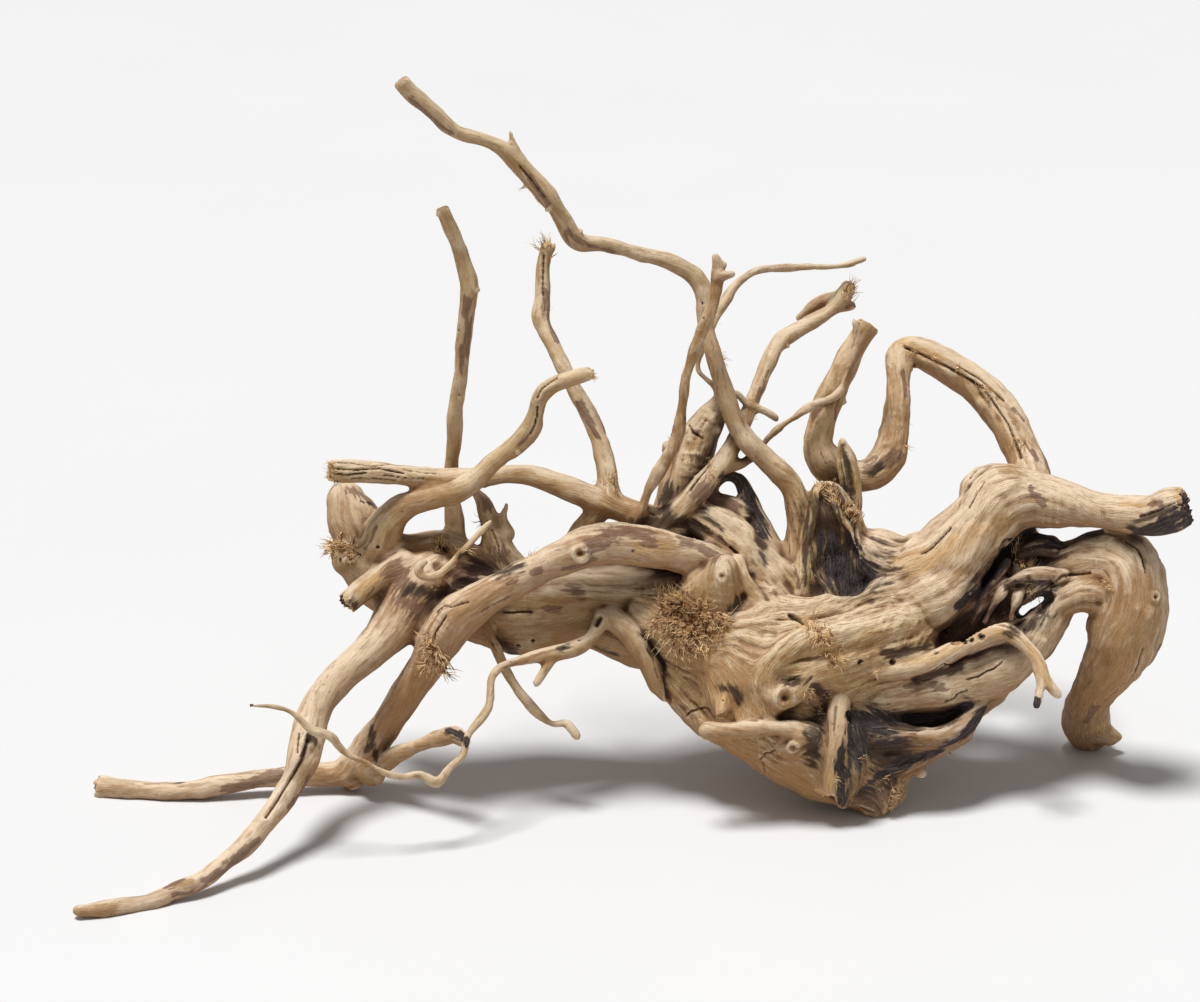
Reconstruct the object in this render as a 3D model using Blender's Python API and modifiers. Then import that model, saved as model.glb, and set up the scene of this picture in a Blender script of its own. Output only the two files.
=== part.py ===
"""A spiderwood root: one gnarled azalea root crown with its limbs, stubs and fine roots.

The root grew as one piece, so it is one solid. Its limbs are round tubes that follow hand-set
stations. They are fused into a crown by a voxel remesh, hollowed where the wood has rotted out,
thinned to few faces, bristled with torn fibres, and cut flat where the root stands.
"""

import math
import random

import bmesh
import bpy
from mathutils import Vector, noise

# Driving dimension, in metres: the root's width as the viewer sees it, from its left foot to
# the charred end of its right arm. The stations below give that width as SIGHT_WIDTH units.
OVERALL_WIDTH = 0.674
SIGHT_WIDTH = 1124
UNIT = OVERALL_WIDTH / SIGHT_WIDTH

# The stations are set on a sight grid: across, down and away, as seen by a viewer who looks
# down at the root at this angle and from this distance
SIGHT_ANGLE = math.radians(20)
SIGHT_DISTANCE = 2.0
SIGHT_CENTRE = (600, 501)
SIGHT_HEIGHT = 295 * UNIT

# Making of the solid, in metres
TUBE_STEP = 0.004
TUBE_SIDES = 4
END_STEPS = 4
END_TURN = math.radians(88)
SWELL = 0.08
SWELL_PITCH = 45
WELD = 0.00001
FUSE_VOXEL = 0.0016
HOLLOW_VOXEL = 0.0020
HOLLOW_LUMP = 0.0025
HOLLOW_PITCH = 90
WEAR = 0.5
WEAR_ROUNDS = 4
SOLID_TRIANGLES = 9000

# Torn fibres: their thickness and how deep they are rooted, in metres, how far each stands up
# from the wood and splays, and its shortest and longest share of its tuft's length
FIBRE_RADIUS = 0.0008
FIBRE_ROOT = 0.004
FIBRE_STAND = 0.5
FIBRE_SPLAY = 0.6
FIBRE_SHARES = (0.6, 1.2)
SEED = 7

WOOD_COLOUR = (0.60, 0.43, 0.26, 1)
WOOD_ROUGHNESS = 0.75

# Each limb: stations of (across, down, away, radius), in sight units, from its base to its tip
LIMBS = {
    # The crown, a swirled burl with a keel and a heel below it
    "crown_front": [
        (655, 614, 0, 28), (705, 642, 0, 42), (760, 656, -5, 54), (820, 658, 0, 57), (885, 642, 5, 52),
    ],
    "crown_back": [(690, 610, 55, 34), (760, 630, 70, 48), (830, 640, 75, 54), (900, 620, 65, 46)],
    "crown_keel": [
        (700, 686, 12, 34), (745, 712, 8, 46), (795, 736, 5, 52), (838, 758, 5, 49), (868, 776, 8, 38),
    ],
    "crown_heel": [(850, 700, 20, 48), (874, 745, 15, 42), (880, 790, 8, 28)],
    "crown_flank": [(655, 612, 20, 16), (675, 650, 10, 20), (692, 690, 10, 28), (715, 710, 10, 32)],
    "crown_lip": [
        (764, 606, -14, 12), (800, 610, -24, 14), (842, 604, -22, 15), (872, 594, -14, 15),
        (910, 596, -4, 24),
    ],
    "fold_outer": [(765, 616, -32, 14), (728, 640, -34, 15), (714, 672, -30, 14), (722, 704, -36, 13)],
    "fold_swirl": [
        (905, 622, -28, 18), (850, 632, -48, 15), (805, 640, -56, 14), (776, 656, -58, 13),
        (763, 682, -56, 12), (770, 706, -50, 12),
    ],
    "fold_eye": [(885, 652, -38, 13), (840, 664, -50, 12), (812, 676, -56, 11), (803, 694, -56, 10)],
    "burl_eye": [(788, 690, -44, 18), (783, 700, -58, 12)],
    "crown_cheek": [(742, 640, -14, 32), (742, 676, -22, 36), (748, 706, -26, 30)],
    "crown_brow": [(872, 640, -22, 22), (830, 654, -34, 22), (798, 668, -40, 18)],
    # Behind the crown, out of the viewer's sight: a rear root, two strands and a sawn stub
    "rear_root": [
        (825, 690, 80, 42), (815, 711, 120, 27), (797, 720, 160, 18), (775, 720, 196, 14),
        (752, 717, 224, 10),
    ],
    "rear_strand": [
        (1000, 530, 62, 22), (960, 575, 100, 22), (900, 612, 122, 20), (840, 640, 128, 17),
        (775, 632, 122, 18), (715, 612, 96, 20), (650, 600, 62, 22),
    ],
    "rear_fold": [(905, 650, 92, 22), (850, 690, 108, 18), (790, 690, 98, 20), (735, 660, 88, 20)],
    "rear_stub": [(890, 622, 96, 22), (900, 606, 132, 14), (905, 596, 158, 12.5)],
    # The trunk that runs from the crown to the left hub, and the club beyond it
    "trunk": [
        (760, 612, 15, 44), (700, 599, 18, 34), (650, 598, 25, 32), (600, 600, 28, 38),
        (550, 603, 30, 44), (505, 604, 32, 46), (465, 598, 28, 42), (430, 588, 22, 38),
    ],
    "belly": [(560, 612, 25, 30), (600, 626, 25, 26), (640, 640, 22, 28), (690, 640, 15, 30)],
    "under_shelf": [(486, 622, 20, 22), (520, 632, 22, 24), (560, 628, 25, 22)],
    "club": [
        (430, 592, 20, 36), (400, 586, 18, 36), (375, 568, 20, 33), (362, 540, 24, 28),
        (352, 515, 28, 27), (346, 502, 30, 21),
    ],
    "hub_shelf": [
        (380, 548, 14, 18), (408, 556, 22, 22), (440, 552, 26, 22), (480, 572, 26, 25), (520, 580, 28, 24),
    ],
    # The two long roots on the left, and the arched limb that feeds the rear one
    "left_front_root": [
        (425, 590, 5, 38), (402, 616, -5, 30), (381, 640, -18, 21), (359, 660, -30, 18),
        (337, 681, -42, 17), (320, 701, -54, 16.5), (311, 721, -64, 16.5), (307, 742, -76, 18),
        (303, 760, -86, 17), (294, 780, -97, 13), (281.5, 800, -110, 12), (266, 820, -124, 10.5),
        (250, 840, -138, 10), (227, 861, -153, 9), (200, 881, -170, 8.7), (180, 889, -178, 8.3),
        (150, 902, -189, 8), (118, 906.5, -200, 8.8), (97, 909.5, -208, 8.5), (80, 910.5, -213, 7),
    ],
    "left_arch": [
        (728, 578, 0, 24), (700, 560, -10, 19), (650, 547, -28, 21), (600, 544, -42, 21),
        (560, 558, -46, 18), (520, 578, -44, 17), (485, 598, -42, 19), (456, 618, -38, 23),
        (437, 643, -28, 21), (427, 662, -16, 19), (404, 697, 5, 17), (386, 725, 25, 15.5),
        (367, 751, 42, 18), (352, 772, 50, 19),
    ],
    "left_rear_root": [
        (352, 772, 50, 17), (330, 774, 48, 13), (300, 775, 44, 12), (260, 779, 38, 10.5),
        (220, 785, 34, 11.5), (180, 791, 34, 10.5), (140, 790.5, 38, 9.8), (98, 786, 45, 11),
    ],
    "knee": [(352, 765, 48, 16), (351, 781, 54, 11)],
    # Left hub: shelf root, serpentine, uprights, spike and stubs
    "shelf_root": [
        (672, 530, 12, 18), (645, 518, 10, 15), (620, 508, 8, 14), (590, 498, 5, 13.5),
        (560, 486, 2, 12.5), (530, 476, 0, 11), (505, 474, -2, 9.5), (478, 478, -4, 9.5),
        (440, 479, -10, 11), (400, 475, -22, 11.5), (360, 472, -36, 12), (330, 470, -48, 12),
    ],
    "shelf_foot": [(604, 502, 8, 13), (584, 530, 18, 13), (570, 566, 28, 20)],
    "serpentine": [
        (372, 552, 10, 22), (386, 524, 2, 19), (404, 507, -10, 14), (430, 498, -20, 12.5),
        (455, 492, -29, 11.5), (475, 480, -34, 11), (492, 463, -40, 10), (514, 447, -50, 9.5),
        (530, 431, -60, 11), (536, 413, -70, 8.5), (540, 397, -80, 9), (555, 384, -90, 8.5),
        (575, 377, -98, 7.5), (593, 372, -102, 6),
    ],
    "hub_upright": [
        (450, 570, 30, 18), (455, 540, 32, 11.5), (454, 515, 31, 10), (452, 490, 27, 8.5),
        (452, 462, 20, 8), (455, 440, 10, 8), (455, 410, -5, 8), (460, 380, -18, 8),
        (463, 345, -32, 8), (467, 310, -46, 9), (470, 287, -54, 10), (463, 262, -60, 9),
        (455, 240, -68, 8), (447, 222, -76, 8.5), (441, 207, -82, 8),
    ],
    "shelf_upright": [
        (609, 500, 10, 16), (608, 485, 13, 12), (606, 468, 17, 10.5), (600, 442, 24, 10),
        (589, 415, 32, 9.5), (576, 392, 40, 9), (562, 365, 50, 8.5), (551, 342, 58, 8),
        (541, 320, 64, 8.5), (542, 300, 66, 8), (542, 275, 66, 8), (545, 257, 64, 8),
        (549, 244, 62, 9),
    ],
    "spike": [(504, 575, 30, 30), (497, 550, 28, 18), (490, 524, 26, 11), (484, 504, 24, 8), (476, 492, 22, 5)],
    "hub_thorn": [(506, 534, 24, 8), (503, 519, 22, 4), (507, 504, 20, 2.5)],
    "hub_twig": [
        (432, 590, -18, 5), (421, 574, -26, 4.5), (424, 563, -30, 4.5), (430, 575, -33, 4.5),
        (445, 571, -34, 4.5), (462, 556, -36, 4), (480, 538, -38, 3.5), (492, 522, -40, 3),
    ],
    "cut_stub": [(402, 568, -5, 18), (384, 574, -14, 13), (364, 590, -24, 12), (347, 604, -32, 12.5)],
    # The long reaching arm and the slender stems that cross it
    "long_arm": [
        (800, 572, 22, 24), (799, 535, 20, 14), (798, 508, 18, 12.5), (790, 484, 15, 12.5),
        (765, 459, 10, 12), (740, 430, 5, 11.5), (727, 398, 0, 10.5), (714, 358, -3, 9.5),
        (706, 325, -5, 9), (705, 298, -8, 10), (694, 276, -12, 10), (670, 262, -20, 9),
        (640, 254, -28, 8), (605, 245, -42, 7.5), (577, 241, -54, 9), (562, 218, -66, 8.5),
        (545, 194, -78, 9.5), (522, 168, -88, 9.5), (503, 149, -96, 8.5), (480, 139, -104, 7.5),
        (456, 132, -113, 8), (434, 112, -124, 8), (412, 94, -134, 8.5), (400, 80, -140, 9),
    ],
    "long_arm_twig": [(528, 172, -88, 7), (516, 150, -93, 4), (510, 132, -96, 2.8)],
    "dark_stem": [
        (636, 528, 0, 8), (642, 508, -5, 6.5), (650, 487, -9, 6), (664, 463, -13, 6.5),
        (676, 440, -17, 6.5), (682, 405, -23, 6), (687, 372, -29, 6), (700, 335, -36, 6),
        (712, 308, -40, 6), (717, 285, -43, 6), (716, 257, -46, 4.5),
    ],
    "dark_stem_stub": [(715, 280, -43, 5), (724, 264, -44, 3)],
    "dark_stem_peg": [(716, 278, -46, 5), (733, 274, -54, 3.5)],
    "right_twig": [
        (720, 402, 26, 6), (716, 388, 22, 5), (706, 379, 20, 4.5), (698, 368, 20, 4.5),
        (703, 345, 24, 5), (716, 316, 32, 5), (729, 296, 40, 5.5), (741, 281, 48, 5.5),
        (760, 270, 58, 4.5), (800, 267, 76, 4.5), (840, 266, 92, 4), (864, 259, 104, 4),
    ],
    "hooked_twig": [
        (720, 402, 28, 6), (735, 393, 30, 4), (748, 405, 34, 4), (765, 411, 38, 3.5), (776, 418, 42, 3.5),
    ],
    "forked_arm": [
        (655, 540, 12, 18), (666, 522, 6, 15), (684, 505, 3, 13), (700, 488, 4, 12),
        (717, 469, 12, 10.5), (730, 450, 21, 9.5), (740, 430, 31, 8.5), (750, 408, 42, 8),
        (757, 390, 51, 8), (767, 365, 63, 8.5), (780, 342, 75, 9), (805, 326, 88, 8),
        (832, 310, 100, 7), (852, 306, 108, 4.5),
    ],
    "forked_arm_tip": [(828, 311, 99, 7), (842, 296, 104, 8.5), (850, 284, 107, 8)],
    "splinter": [(842, 296, 106, 6.5), (820, 302, 114, 7.5), (797, 321, 120, 4.5)],
    "vine": [
        (712, 474, 10, 6), (730, 468, 18, 5), (745, 462, 24, 5), (759, 449, 29, 4.5),
        (770, 436, 31, 4), (783, 425, 32, 4.5), (796, 417, 33, 4.5), (806, 409, 35, 4.5),
        (820, 403, 37, 4.5), (832, 399, 39, 4.5), (843, 388, 42, 4), (847, 372, 44, 4.5),
        (853, 352, 45, 4.5), (856, 332, 45, 4), (853, 320, 45, 2.5),
    ],
    # The gnarled back limb, the looped root and the root that lies over them
    "gnarled_limb": [
        (668, 540, 40, 26), (677, 505, 42, 23), (684, 478, 42, 24), (690, 455, 42, 25),
        (700, 435, 38, 21), (714, 412, 30, 13), (722, 395, 27, 6),
    ],
    "gnarled_bump": [(690, 460, 40, 18), (670, 450, 42, 11)],
    "loop_root": [
        (705, 520, 30, 15), (709, 492, 30, 9), (722, 478, 31, 6), (738, 479, 33, 7),
        (748, 496, 34, 9), (758, 524, 34, 13), (766, 556, 30, 22),
    ],
    "loop_sill": [(700, 505, 30, 12), (722, 502, 28, 9), (745, 512, 28, 11)],
    "purple_root": [(700, 520, 15, 20), (725, 532, 12, 22), (748, 552, 10, 22), (768, 580, 10, 26)],
    # The broken stump and the spur behind it
    "stump_foot": [(756, 600, 12, 26), (782, 580, 14, 24), (800, 600, 14, 26)],
    "stump": [
        (830, 602, 20, 38), (832, 565, 18, 33), (832, 535, 17, 28), (829, 510, 16, 22), (827, 500, 16, 19),
    ],
    "stump_left": [
        (800, 610, 5, 24), (805, 570, 4, 13), (811, 530, 8, 10), (815, 502, 12, 8), (817, 492, 14, 6),
    ],
    "stump_right": [
        (852, 600, 20, 22), (860, 560, 22, 14), (856, 530, 20, 12), (848, 510, 18, 9), (838, 494, 18, 7),
    ],
    "spur": [(851, 520, 34, 12), (851, 490, 33, 10), (847, 466, 31, 10), (843, 448, 29, 7), (842, 440, 28, 4)],
    # The fork on the right: shoulder, charred arm and hook
    "shoulder": [
        (875, 558, 25, 33), (905, 575, 20, 42), (940, 564, 15, 40), (974, 530, 12, 36), (1004, 498, 12, 36),
    ],
    "shoulder_lobe": [(984, 502, 22, 26), (988, 489, 24, 27), (1015, 490, 20, 26)],
    "shoulder_web": [(900, 610, 5, 34), (930, 598, 0, 34), (950, 580, 8, 34)],
    "right_arm": [
        (1004, 500, 12, 36), (1040, 500, 6, 28), (1080, 507, -6, 21), (1120, 513, -20, 19.5),
        (1150, 516, -32, 21), (1172, 510, -42, 23), (1186, 506, -48, 20),
    ],
    "hook": [
        (1030, 590, 30, 18), (1058, 568, 24, 22), (1090, 560, 16, 27), (1122, 567, 8, 37),
        (1132, 598, 6, 37), (1126, 632, 14, 37), (1113, 662, 38, 29), (1100, 682, 68, 25),
        (1089, 702, 102, 23), (1086, 718, 132, 25), (1087, 728, 149, 25),
    ],
    "hook_toe": [(1092, 730, 134, 16), (1110, 736, 136, 11), (1118, 737, 136, 5)],
    "hook_strand": [(1020, 618, 20, 20), (1050, 604, 12, 20), (1078, 592, 8, 20), (1110, 592, 8, 24)],
    "lower_limb": [
        (860, 690, 0, 30), (905, 688, -5, 27), (950, 681, 0, 29), (992, 668, 8, 29),
        (1022, 648, 12, 27), (1044, 622, 15, 24), (1058, 602, 15, 18),
    ],
    "lower_limb_top": [(840, 660, -14, 30), (890, 660, -20, 16), (930, 672, -18, 14), (965, 668, -12, 14)],
    "strand": [
        (860, 668, -38, 13), (895, 669, -36, 11), (935, 659, -32, 10), (970, 643, -28, 9.5),
        (1000, 630, -26, 9.5), (1022, 642, -30, 8.5), (1038, 662, -36, 8), (1046, 680, -40, 6.5),
        (1058, 695, -42, 4),
    ],
    "strand_twig": [(1036, 662, -36, 6.5), (1040, 684, -44, 4.5), (1036, 709, -50, 3)],
    "cavity_wall": [
        (930, 640, 40, 26), (975, 612, 44, 25), (1005, 578, 44, 24), (1030, 552, 38, 20),
        (1050, 546, 30, 12),
    ],
    "cavity_splinter": [(985, 636, 22, 10), (1005, 600, 20, 9), (1012, 570, 22, 11)],
    # Under the crown: charred strand, plank, black strip, heel twig and stubs
    "under_wall": [(850, 716, 30, 26), (905, 716, 26, 26), (955, 706, 24, 22), (990, 688, 20, 20)],
    "charred_strand": [
        (845, 737, -20, 18), (895, 736, -24, 14), (935, 738, -20, 12), (962, 727, -12, 12),
        (980, 705, -4, 9),
    ],
    "charred_floor": [(850, 768, -6, 28), (900, 757, -5, 20), (940, 744, 2, 13), (965, 734, 6, 11)],
    "plank": [(838, 700, -36, 12), (838, 735, -46, 12), (832, 768, -44, 11), (828, 792, -38, 10)],
    "black_strip": [(852, 722, -36, 11), (856, 752, -40, 11), (850, 782, -34, 12), (842, 800, -26, 9)],
    "heel_twig": [(900, 766, 0, 8), (915, 770, -4, 6), (922, 773, -6, 5)],
    "front_stub": [
        (808, 735, -44, 16), (785, 728, -55, 9), (745, 729, -60, 9), (716, 731, -62, 9.5),
        (707, 731, -62, 9.5),
    ],
    "front_knob": [(790, 745, -42, 16), (800, 738, -52, 13), (813, 737, -56, 9)],
    "flat_peg": [(730, 680, -34, 12), (724, 704, -46, 9), (722, 716, -50, 8)],
    # Middle: nub, strap, legs and fine roots
    "nub": [(720, 602, -20, 22), (720, 582, -32, 21), (722, 568, -38, 18)],
    "strap": [(742, 562, -14, 6), (750, 582, -18, 8), (760, 604, -20, 9)],
    "leg_front": [
        (612, 618, -10, 13), (630, 632, -14, 14), (645, 655, -14, 12), (657, 680, -8, 12), (666, 694, 0, 10),
    ],
    "thin_root": [
        (602, 618, -14, 9), (590, 640, -22, 8), (572, 650, -28, 9), (548, 655, -36, 8),
        (522, 660, -44, 5), (500, 668, -54, 4.5), (491, 680, -62, 4.5), (489, 705, -70, 4.5),
        (478, 722, -76, 4.5), (468, 736, -84, 4.5), (463, 755, -87, 4), (450, 768, -90, 4),
        (437, 783, -93, 4.5), (420, 774, -98, 4), (405, 777, -103, 4), (384, 773, -110, 4),
        (366, 763, -114, 4), (346, 754, -119, 4), (330, 736, -125, 4), (310, 729, -130, 4.5),
        (292, 712, -134, 4.5), (270, 706, -138, 3.8), (249, 706, -140, 3),
    ],
    "thin_root_stub": [(552, 658, -36, 6), (544, 672, -40, 5), (536, 684, -44, 3.5)],
    "fine_root": [
        (478, 606, -8, 6), (490, 632, -10, 6.5), (502, 662, -12, 6.5), (518, 690, -14, 5),
        (537, 712, -18, 5), (552, 724, -20, 4.5), (566, 723, -20, 4), (577, 736, -20, 4),
    ],
    "knee_stub": [
        (372, 775, 36, 12), (392, 758, 10, 9.5), (415, 747, -14, 8), (440, 738, -36, 8),
        (454, 735, -48, 8.5), (464, 741, -56, 7),
    ],
    "knee_knot": [(368, 775, 30, 12), (376, 777, 22, 10)],
    # The arch behind the shoulder, with its low bend and cut end
    "arch": [
        (1008, 520, 42, 28), (1030, 490, 66, 22), (1026, 460, 90, 19), (1005, 420, 112, 19),
        (979, 388, 126, 19), (950, 367, 134, 18), (922, 353, 134, 17), (902, 352, 130, 15),
        (899, 375, 120, 13.5), (898, 402, 108, 14), (895, 430, 96, 15), (889, 456, 86, 18),
        (872, 474, 78, 18), (850, 476, 72, 17), (829, 465, 68, 20), (818, 445, 64, 17),
        (822, 422, 62, 14.5), (831, 395, 60, 14), (842, 370, 58, 13), (856, 344, 56, 12.5),
        (869, 324, 54, 13),
    ],
}

# Limbs whose tips are sawn or snapped off square. The rest have worn, rounded tips.
SQUARE_TIPS = {
    "shelf_root", "hub_upright", "shelf_upright", "long_arm", "cut_stub", "arch", "plank",
    "forked_arm_tip", "splinter", "flat_peg", "strand_twig", "left_rear_root", "rear_stub",
    "right_arm",
}

# Where the wood has rotted or burnt away: stations of the hollows that are cut out of it
HOLLOWS = {
    "stump_hollow": [
        (826, 488, 4, 7), (826, 508, -2, 8), (829, 524, -6, 17), (832, 545, -10, 23),
        (838, 565, -12, 25), (848, 582, -14, 20),
    ],
    "hub_hollow": [(414, 564, -26, 8), (428, 578, -14, 13), (450, 586, -14, 12)],
    "shoulder_hollow": [
        (1008, 546, -4, 10), (1016, 572, -4, 15), (1014, 598, -8, 15), (990, 622, -18, 11),
        (955, 640, -30, 8),
    ],
    "slit_start": [(1018, 617, -30, 5), (1023, 613, 10, 5.5), (1027, 610, 60, 6.5)],
    "slit_middle": [(1025.5, 612, -30, 5), (1030.5, 608, 10, 5.5), (1034.5, 605, 60, 6.5)],
    "slit_end": [(1033, 607, -30, 5), (1038, 603, 10, 5.5), (1042, 600, 60, 6.5)],
    "under_hollow": [(846, 716, -44, 8), (880, 719, -36, 8), (925, 720, -26, 8), (960, 708, -20, 6)],
}

# Torn fibres: middle of the tuft, its half width, how many fibres, their length, all in sight
# units, and the way they lean on the sight grid (across, down, away)
TUFTS = {
    "crown_tuft": ((690, 620, -30), 24, 54, 24, (-0.4, 0.1, -1.0)),
    "swirl_tuft": ((832, 650, -58), 13, 10, 12, (0.3, 0.3, -1.0)),
    "club_tuft": ((340, 545, 6), 8, 14, 20, (-1.0, -0.1, -0.6)),
    "arch_tuft": ((437, 660, -40), 14, 14, 24, (0.0, 1.0, -0.5)),
    "forked_tuft": ((851, 284, 107), 5, 8, 14, (0.5, -1.0, 0.0)),
    "serpentine_tuft": ((592, 372, -102), 3, 5, 10, (1.0, -0.2, 0.0)),
    "upright_tuft": ((549, 244, 62), 5, 7, 16, (-0.5, -1.0, 0.0)),
    "shelf_tuft": ((332, 470, -48), 8, 6, 9, (-1.0, 0.0, 0.0)),
}


def place(across, down, away):
    """The point, in metres with +Z up, that the viewer sees at these sight units."""
    spread = 1 + away * UNIT / SIGHT_DISTANCE
    right = (across - SIGHT_CENTRE[0]) * UNIT * spread
    rise = (SIGHT_CENTRE[1] - down) * UNIT * spread
    depth = away * UNIT
    return Vector((
        right,
        depth * math.cos(SIGHT_ANGLE) + rise * math.sin(SIGHT_ANGLE),
        SIGHT_HEIGHT + rise * math.cos(SIGHT_ANGLE) - depth * math.sin(SIGHT_ANGLE),
    ))


def curve_through(stations):
    """Points with radii along a smooth curve through a limb's stations, about TUBE_STEP apart."""
    knots = [Vector((*place(*station[:3]), station[3] * UNIT)) for station in stations]
    spans = [2 * knots[0] - knots[1], *knots, 2 * knots[-1] - knots[-2]]
    samples = []
    for before, start, stop, after in zip(spans, spans[1:], spans[2:], spans[3:]):
        steps = max(2, math.ceil((stop - start).xyz.length / TUBE_STEP))
        for step in range(steps):
            t = step / steps
            samples.append(0.5 * (
                2 * start + (stop - before) * t
                + (2 * before - 5 * start + 4 * stop - after) * t ** 2
                + (3 * start - before - 3 * stop + after) * t ** 3
            ))
    return samples + [knots[-1]]


def round_end(last, inner):
    """Points that close a tube with half a ball past its last sample."""
    outward = (last.xyz - inner.xyz).normalized()
    points = []
    for step in range(1, END_STEPS + 1):
        turn = END_TURN * step / END_STEPS
        middle = last.xyz + outward * last.w * math.sin(turn)
        points.append(Vector((*middle, last.w * math.cos(turn))))
    return points


def clear_scene():
    for obj in list(bpy.data.objects):
        bpy.data.objects.remove(obj)


def new_collection(name):
    collection = bpy.data.collections.new(name)
    bpy.context.scene.collection.children.link(collection)
    return collection


def tube(name, stations, collection):
    """A limb as a curve with a round section, which swells and thins a little along its length."""
    samples = curve_through(stations)
    for sample in samples:
        sample.w *= 1 + SWELL * noise.noise(sample.xyz * SWELL_PITCH)
    samples = round_end(samples[0], samples[1])[::-1] + samples
    if name not in SQUARE_TIPS:
        samples += round_end(samples[-1], samples[-2])
    curve = bpy.data.curves.new(name, "CURVE")
    curve.dimensions = "3D"
    curve.bevel_depth = 1
    curve.bevel_resolution = TUBE_SIDES
    curve.use_fill_caps = True
    spline = curve.splines.new("POLY")
    spline.points.add(len(samples) - 1)
    for point, sample in zip(spline.points, samples):
        point.co = (*sample.xyz, 1)
        point.radius = sample.w
    limb = bpy.data.objects.new(name, curve)
    collection.objects.link(limb)
    return limb


def as_mesh(pieces, name, collection):
    """One mesh object of all the pieces, as they are drawn, with their loose caps welded on."""
    bpy.context.view_layer.update()
    graph = bpy.context.evaluated_depsgraph_get()
    joined = bmesh.new()
    for piece in pieces:
        mesh = bpy.data.meshes.new_from_object(piece.evaluated_get(graph))
        mesh.transform(piece.matrix_world)
        joined.from_mesh(mesh)
        bpy.data.meshes.remove(mesh)
    for piece in pieces:
        bpy.data.objects.remove(piece)
    bmesh.ops.remove_doubles(joined, verts=joined.verts, dist=WELD)
    mesh = bpy.data.meshes.new(name)
    joined.to_mesh(mesh)
    joined.free()
    whole = bpy.data.objects.new(name, mesh)
    collection.objects.link(whole)
    return whole


def apply_modifiers(piece):
    """Keep the piece's shape as its modifiers leave it, and drop the modifiers."""
    bpy.context.view_layer.update()
    graph = bpy.context.evaluated_depsgraph_get()
    shaped = bpy.data.meshes.new_from_object(piece.evaluated_get(graph))
    piece.modifiers.clear()
    piece.data = shaped


def fuse(piece, voxel):
    """Melt the piece's overlapping bodies into one skin."""
    modifier = piece.modifiers.new("fuse", "REMESH")
    modifier.mode = "VOXEL"
    modifier.voxel_size = voxel
    apply_modifiers(piece)


def boolean(piece, operation, other):
    """Join or cut the dense skins, which the manifold solver keeps closed."""
    modifier = piece.modifiers.new(operation.lower(), "BOOLEAN")
    modifier.operation = operation
    modifier.solver = "MANIFOLD"
    modifier.object = other
    apply_modifiers(piece)
    bpy.data.objects.remove(other)


def cut_hollows(root, collection):
    """Cut each rotted hollow out of the wood as a lumpy tube, then knit the skin again."""
    for name, stations in HOLLOWS.items():
        cutter = as_mesh([tube(name, stations, collection)], name, collection)
        fuse(cutter, HOLLOW_VOXEL)
        for vertex in cutter.data.vertices:
            vertex.co += vertex.normal * HOLLOW_LUMP * noise.noise(vertex.co * HOLLOW_PITCH)
        boolean(root, "DIFFERENCE", cutter)
    fuse(root, FUSE_VOXEL)


def keep_largest_body(root):
    """Drop scraps and sealed bubbles, which leave shells of their own."""
    skin = bmesh.new()
    skin.from_mesh(root.data)
    left = set(skin.verts)
    bodies = []
    while left:
        body = set()
        front = [left.pop()]
        while front:
            vertex = front.pop()
            body.add(vertex)
            for edge in vertex.link_edges:
                neighbour = edge.other_vert(vertex)
                if neighbour in left:
                    left.remove(neighbour)
                    front.append(neighbour)
        bodies.append(body)
    bodies.sort(key=len)
    scraps = [vertex for body in bodies[:-1] for vertex in body]
    bmesh.ops.delete(skin, geom=scraps, context="VERTS")
    skin.to_mesh(root.data)
    skin.free()


def wear_and_thin(root):
    """Wear the skin smooth, and thin it to the faces that the form needs."""
    worn = root.modifiers.new("worn", "SMOOTH")
    worn.factor = WEAR
    worn.iterations = WEAR_ROUNDS
    thin = root.modifiers.new("thin", "DECIMATE")
    thin.ratio = SOLID_TRIANGLES / (2 * len(root.data.polygons))
    thin.use_collapse_triangulate = True
    apply_modifiers(root)


def grow_fibres(root, collection):
    """Bristle the torn places with three-sided fibres, rooted in the wood's nearest face."""
    bpy.context.view_layer.update()
    draw = random.Random(SEED)
    fibres = []
    for middle, half_width, count, length, lean in TUFTS.values():
        centre = place(*middle)
        leaning = (place(*(m + 10 * l for m, l in zip(middle, lean))) - centre).normalized()
        for _ in range(count):
            scatter = Vector([draw.uniform(-1, 1) for _ in range(3)])
            found, foot, normal, _ = root.closest_point_on_mesh(centre + scatter * half_width * UNIT)
            splay = Vector([draw.uniform(-1, 1) for _ in range(3)])
            along = (leaning + FIBRE_STAND * normal + FIBRE_SPLAY * splay).normalized()
            reach = FIBRE_ROOT + length * UNIT * draw.uniform(*FIBRE_SHARES)
            fibres.append((foot - along * FIBRE_ROOT, along, reach))
    for number, (foot, along, reach) in enumerate(fibres):
        cone = bmesh.new()
        bmesh.ops.create_cone(cone, cap_ends=True, segments=3, radius1=FIBRE_RADIUS, radius2=0, depth=reach)
        mesh = bpy.data.meshes.new(f"fibre_{number}")
        cone.to_mesh(mesh)
        cone.free()
        turn = along.to_track_quat("Z", "Y").to_matrix().to_4x4()
        turn.translation = foot + along * reach / 2
        mesh.transform(turn)
        collection.objects.link(bpy.data.objects.new(mesh.name, mesh))
    join = root.modifiers.new("fibres", "BOOLEAN")
    join.operation = "UNION"
    join.operand_type = "COLLECTION"
    join.collection = collection
    join.solver = "MANIFOLD"
    apply_modifiers(root)
    for fibre in list(collection.objects):
        bpy.data.objects.remove(fibre)


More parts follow.
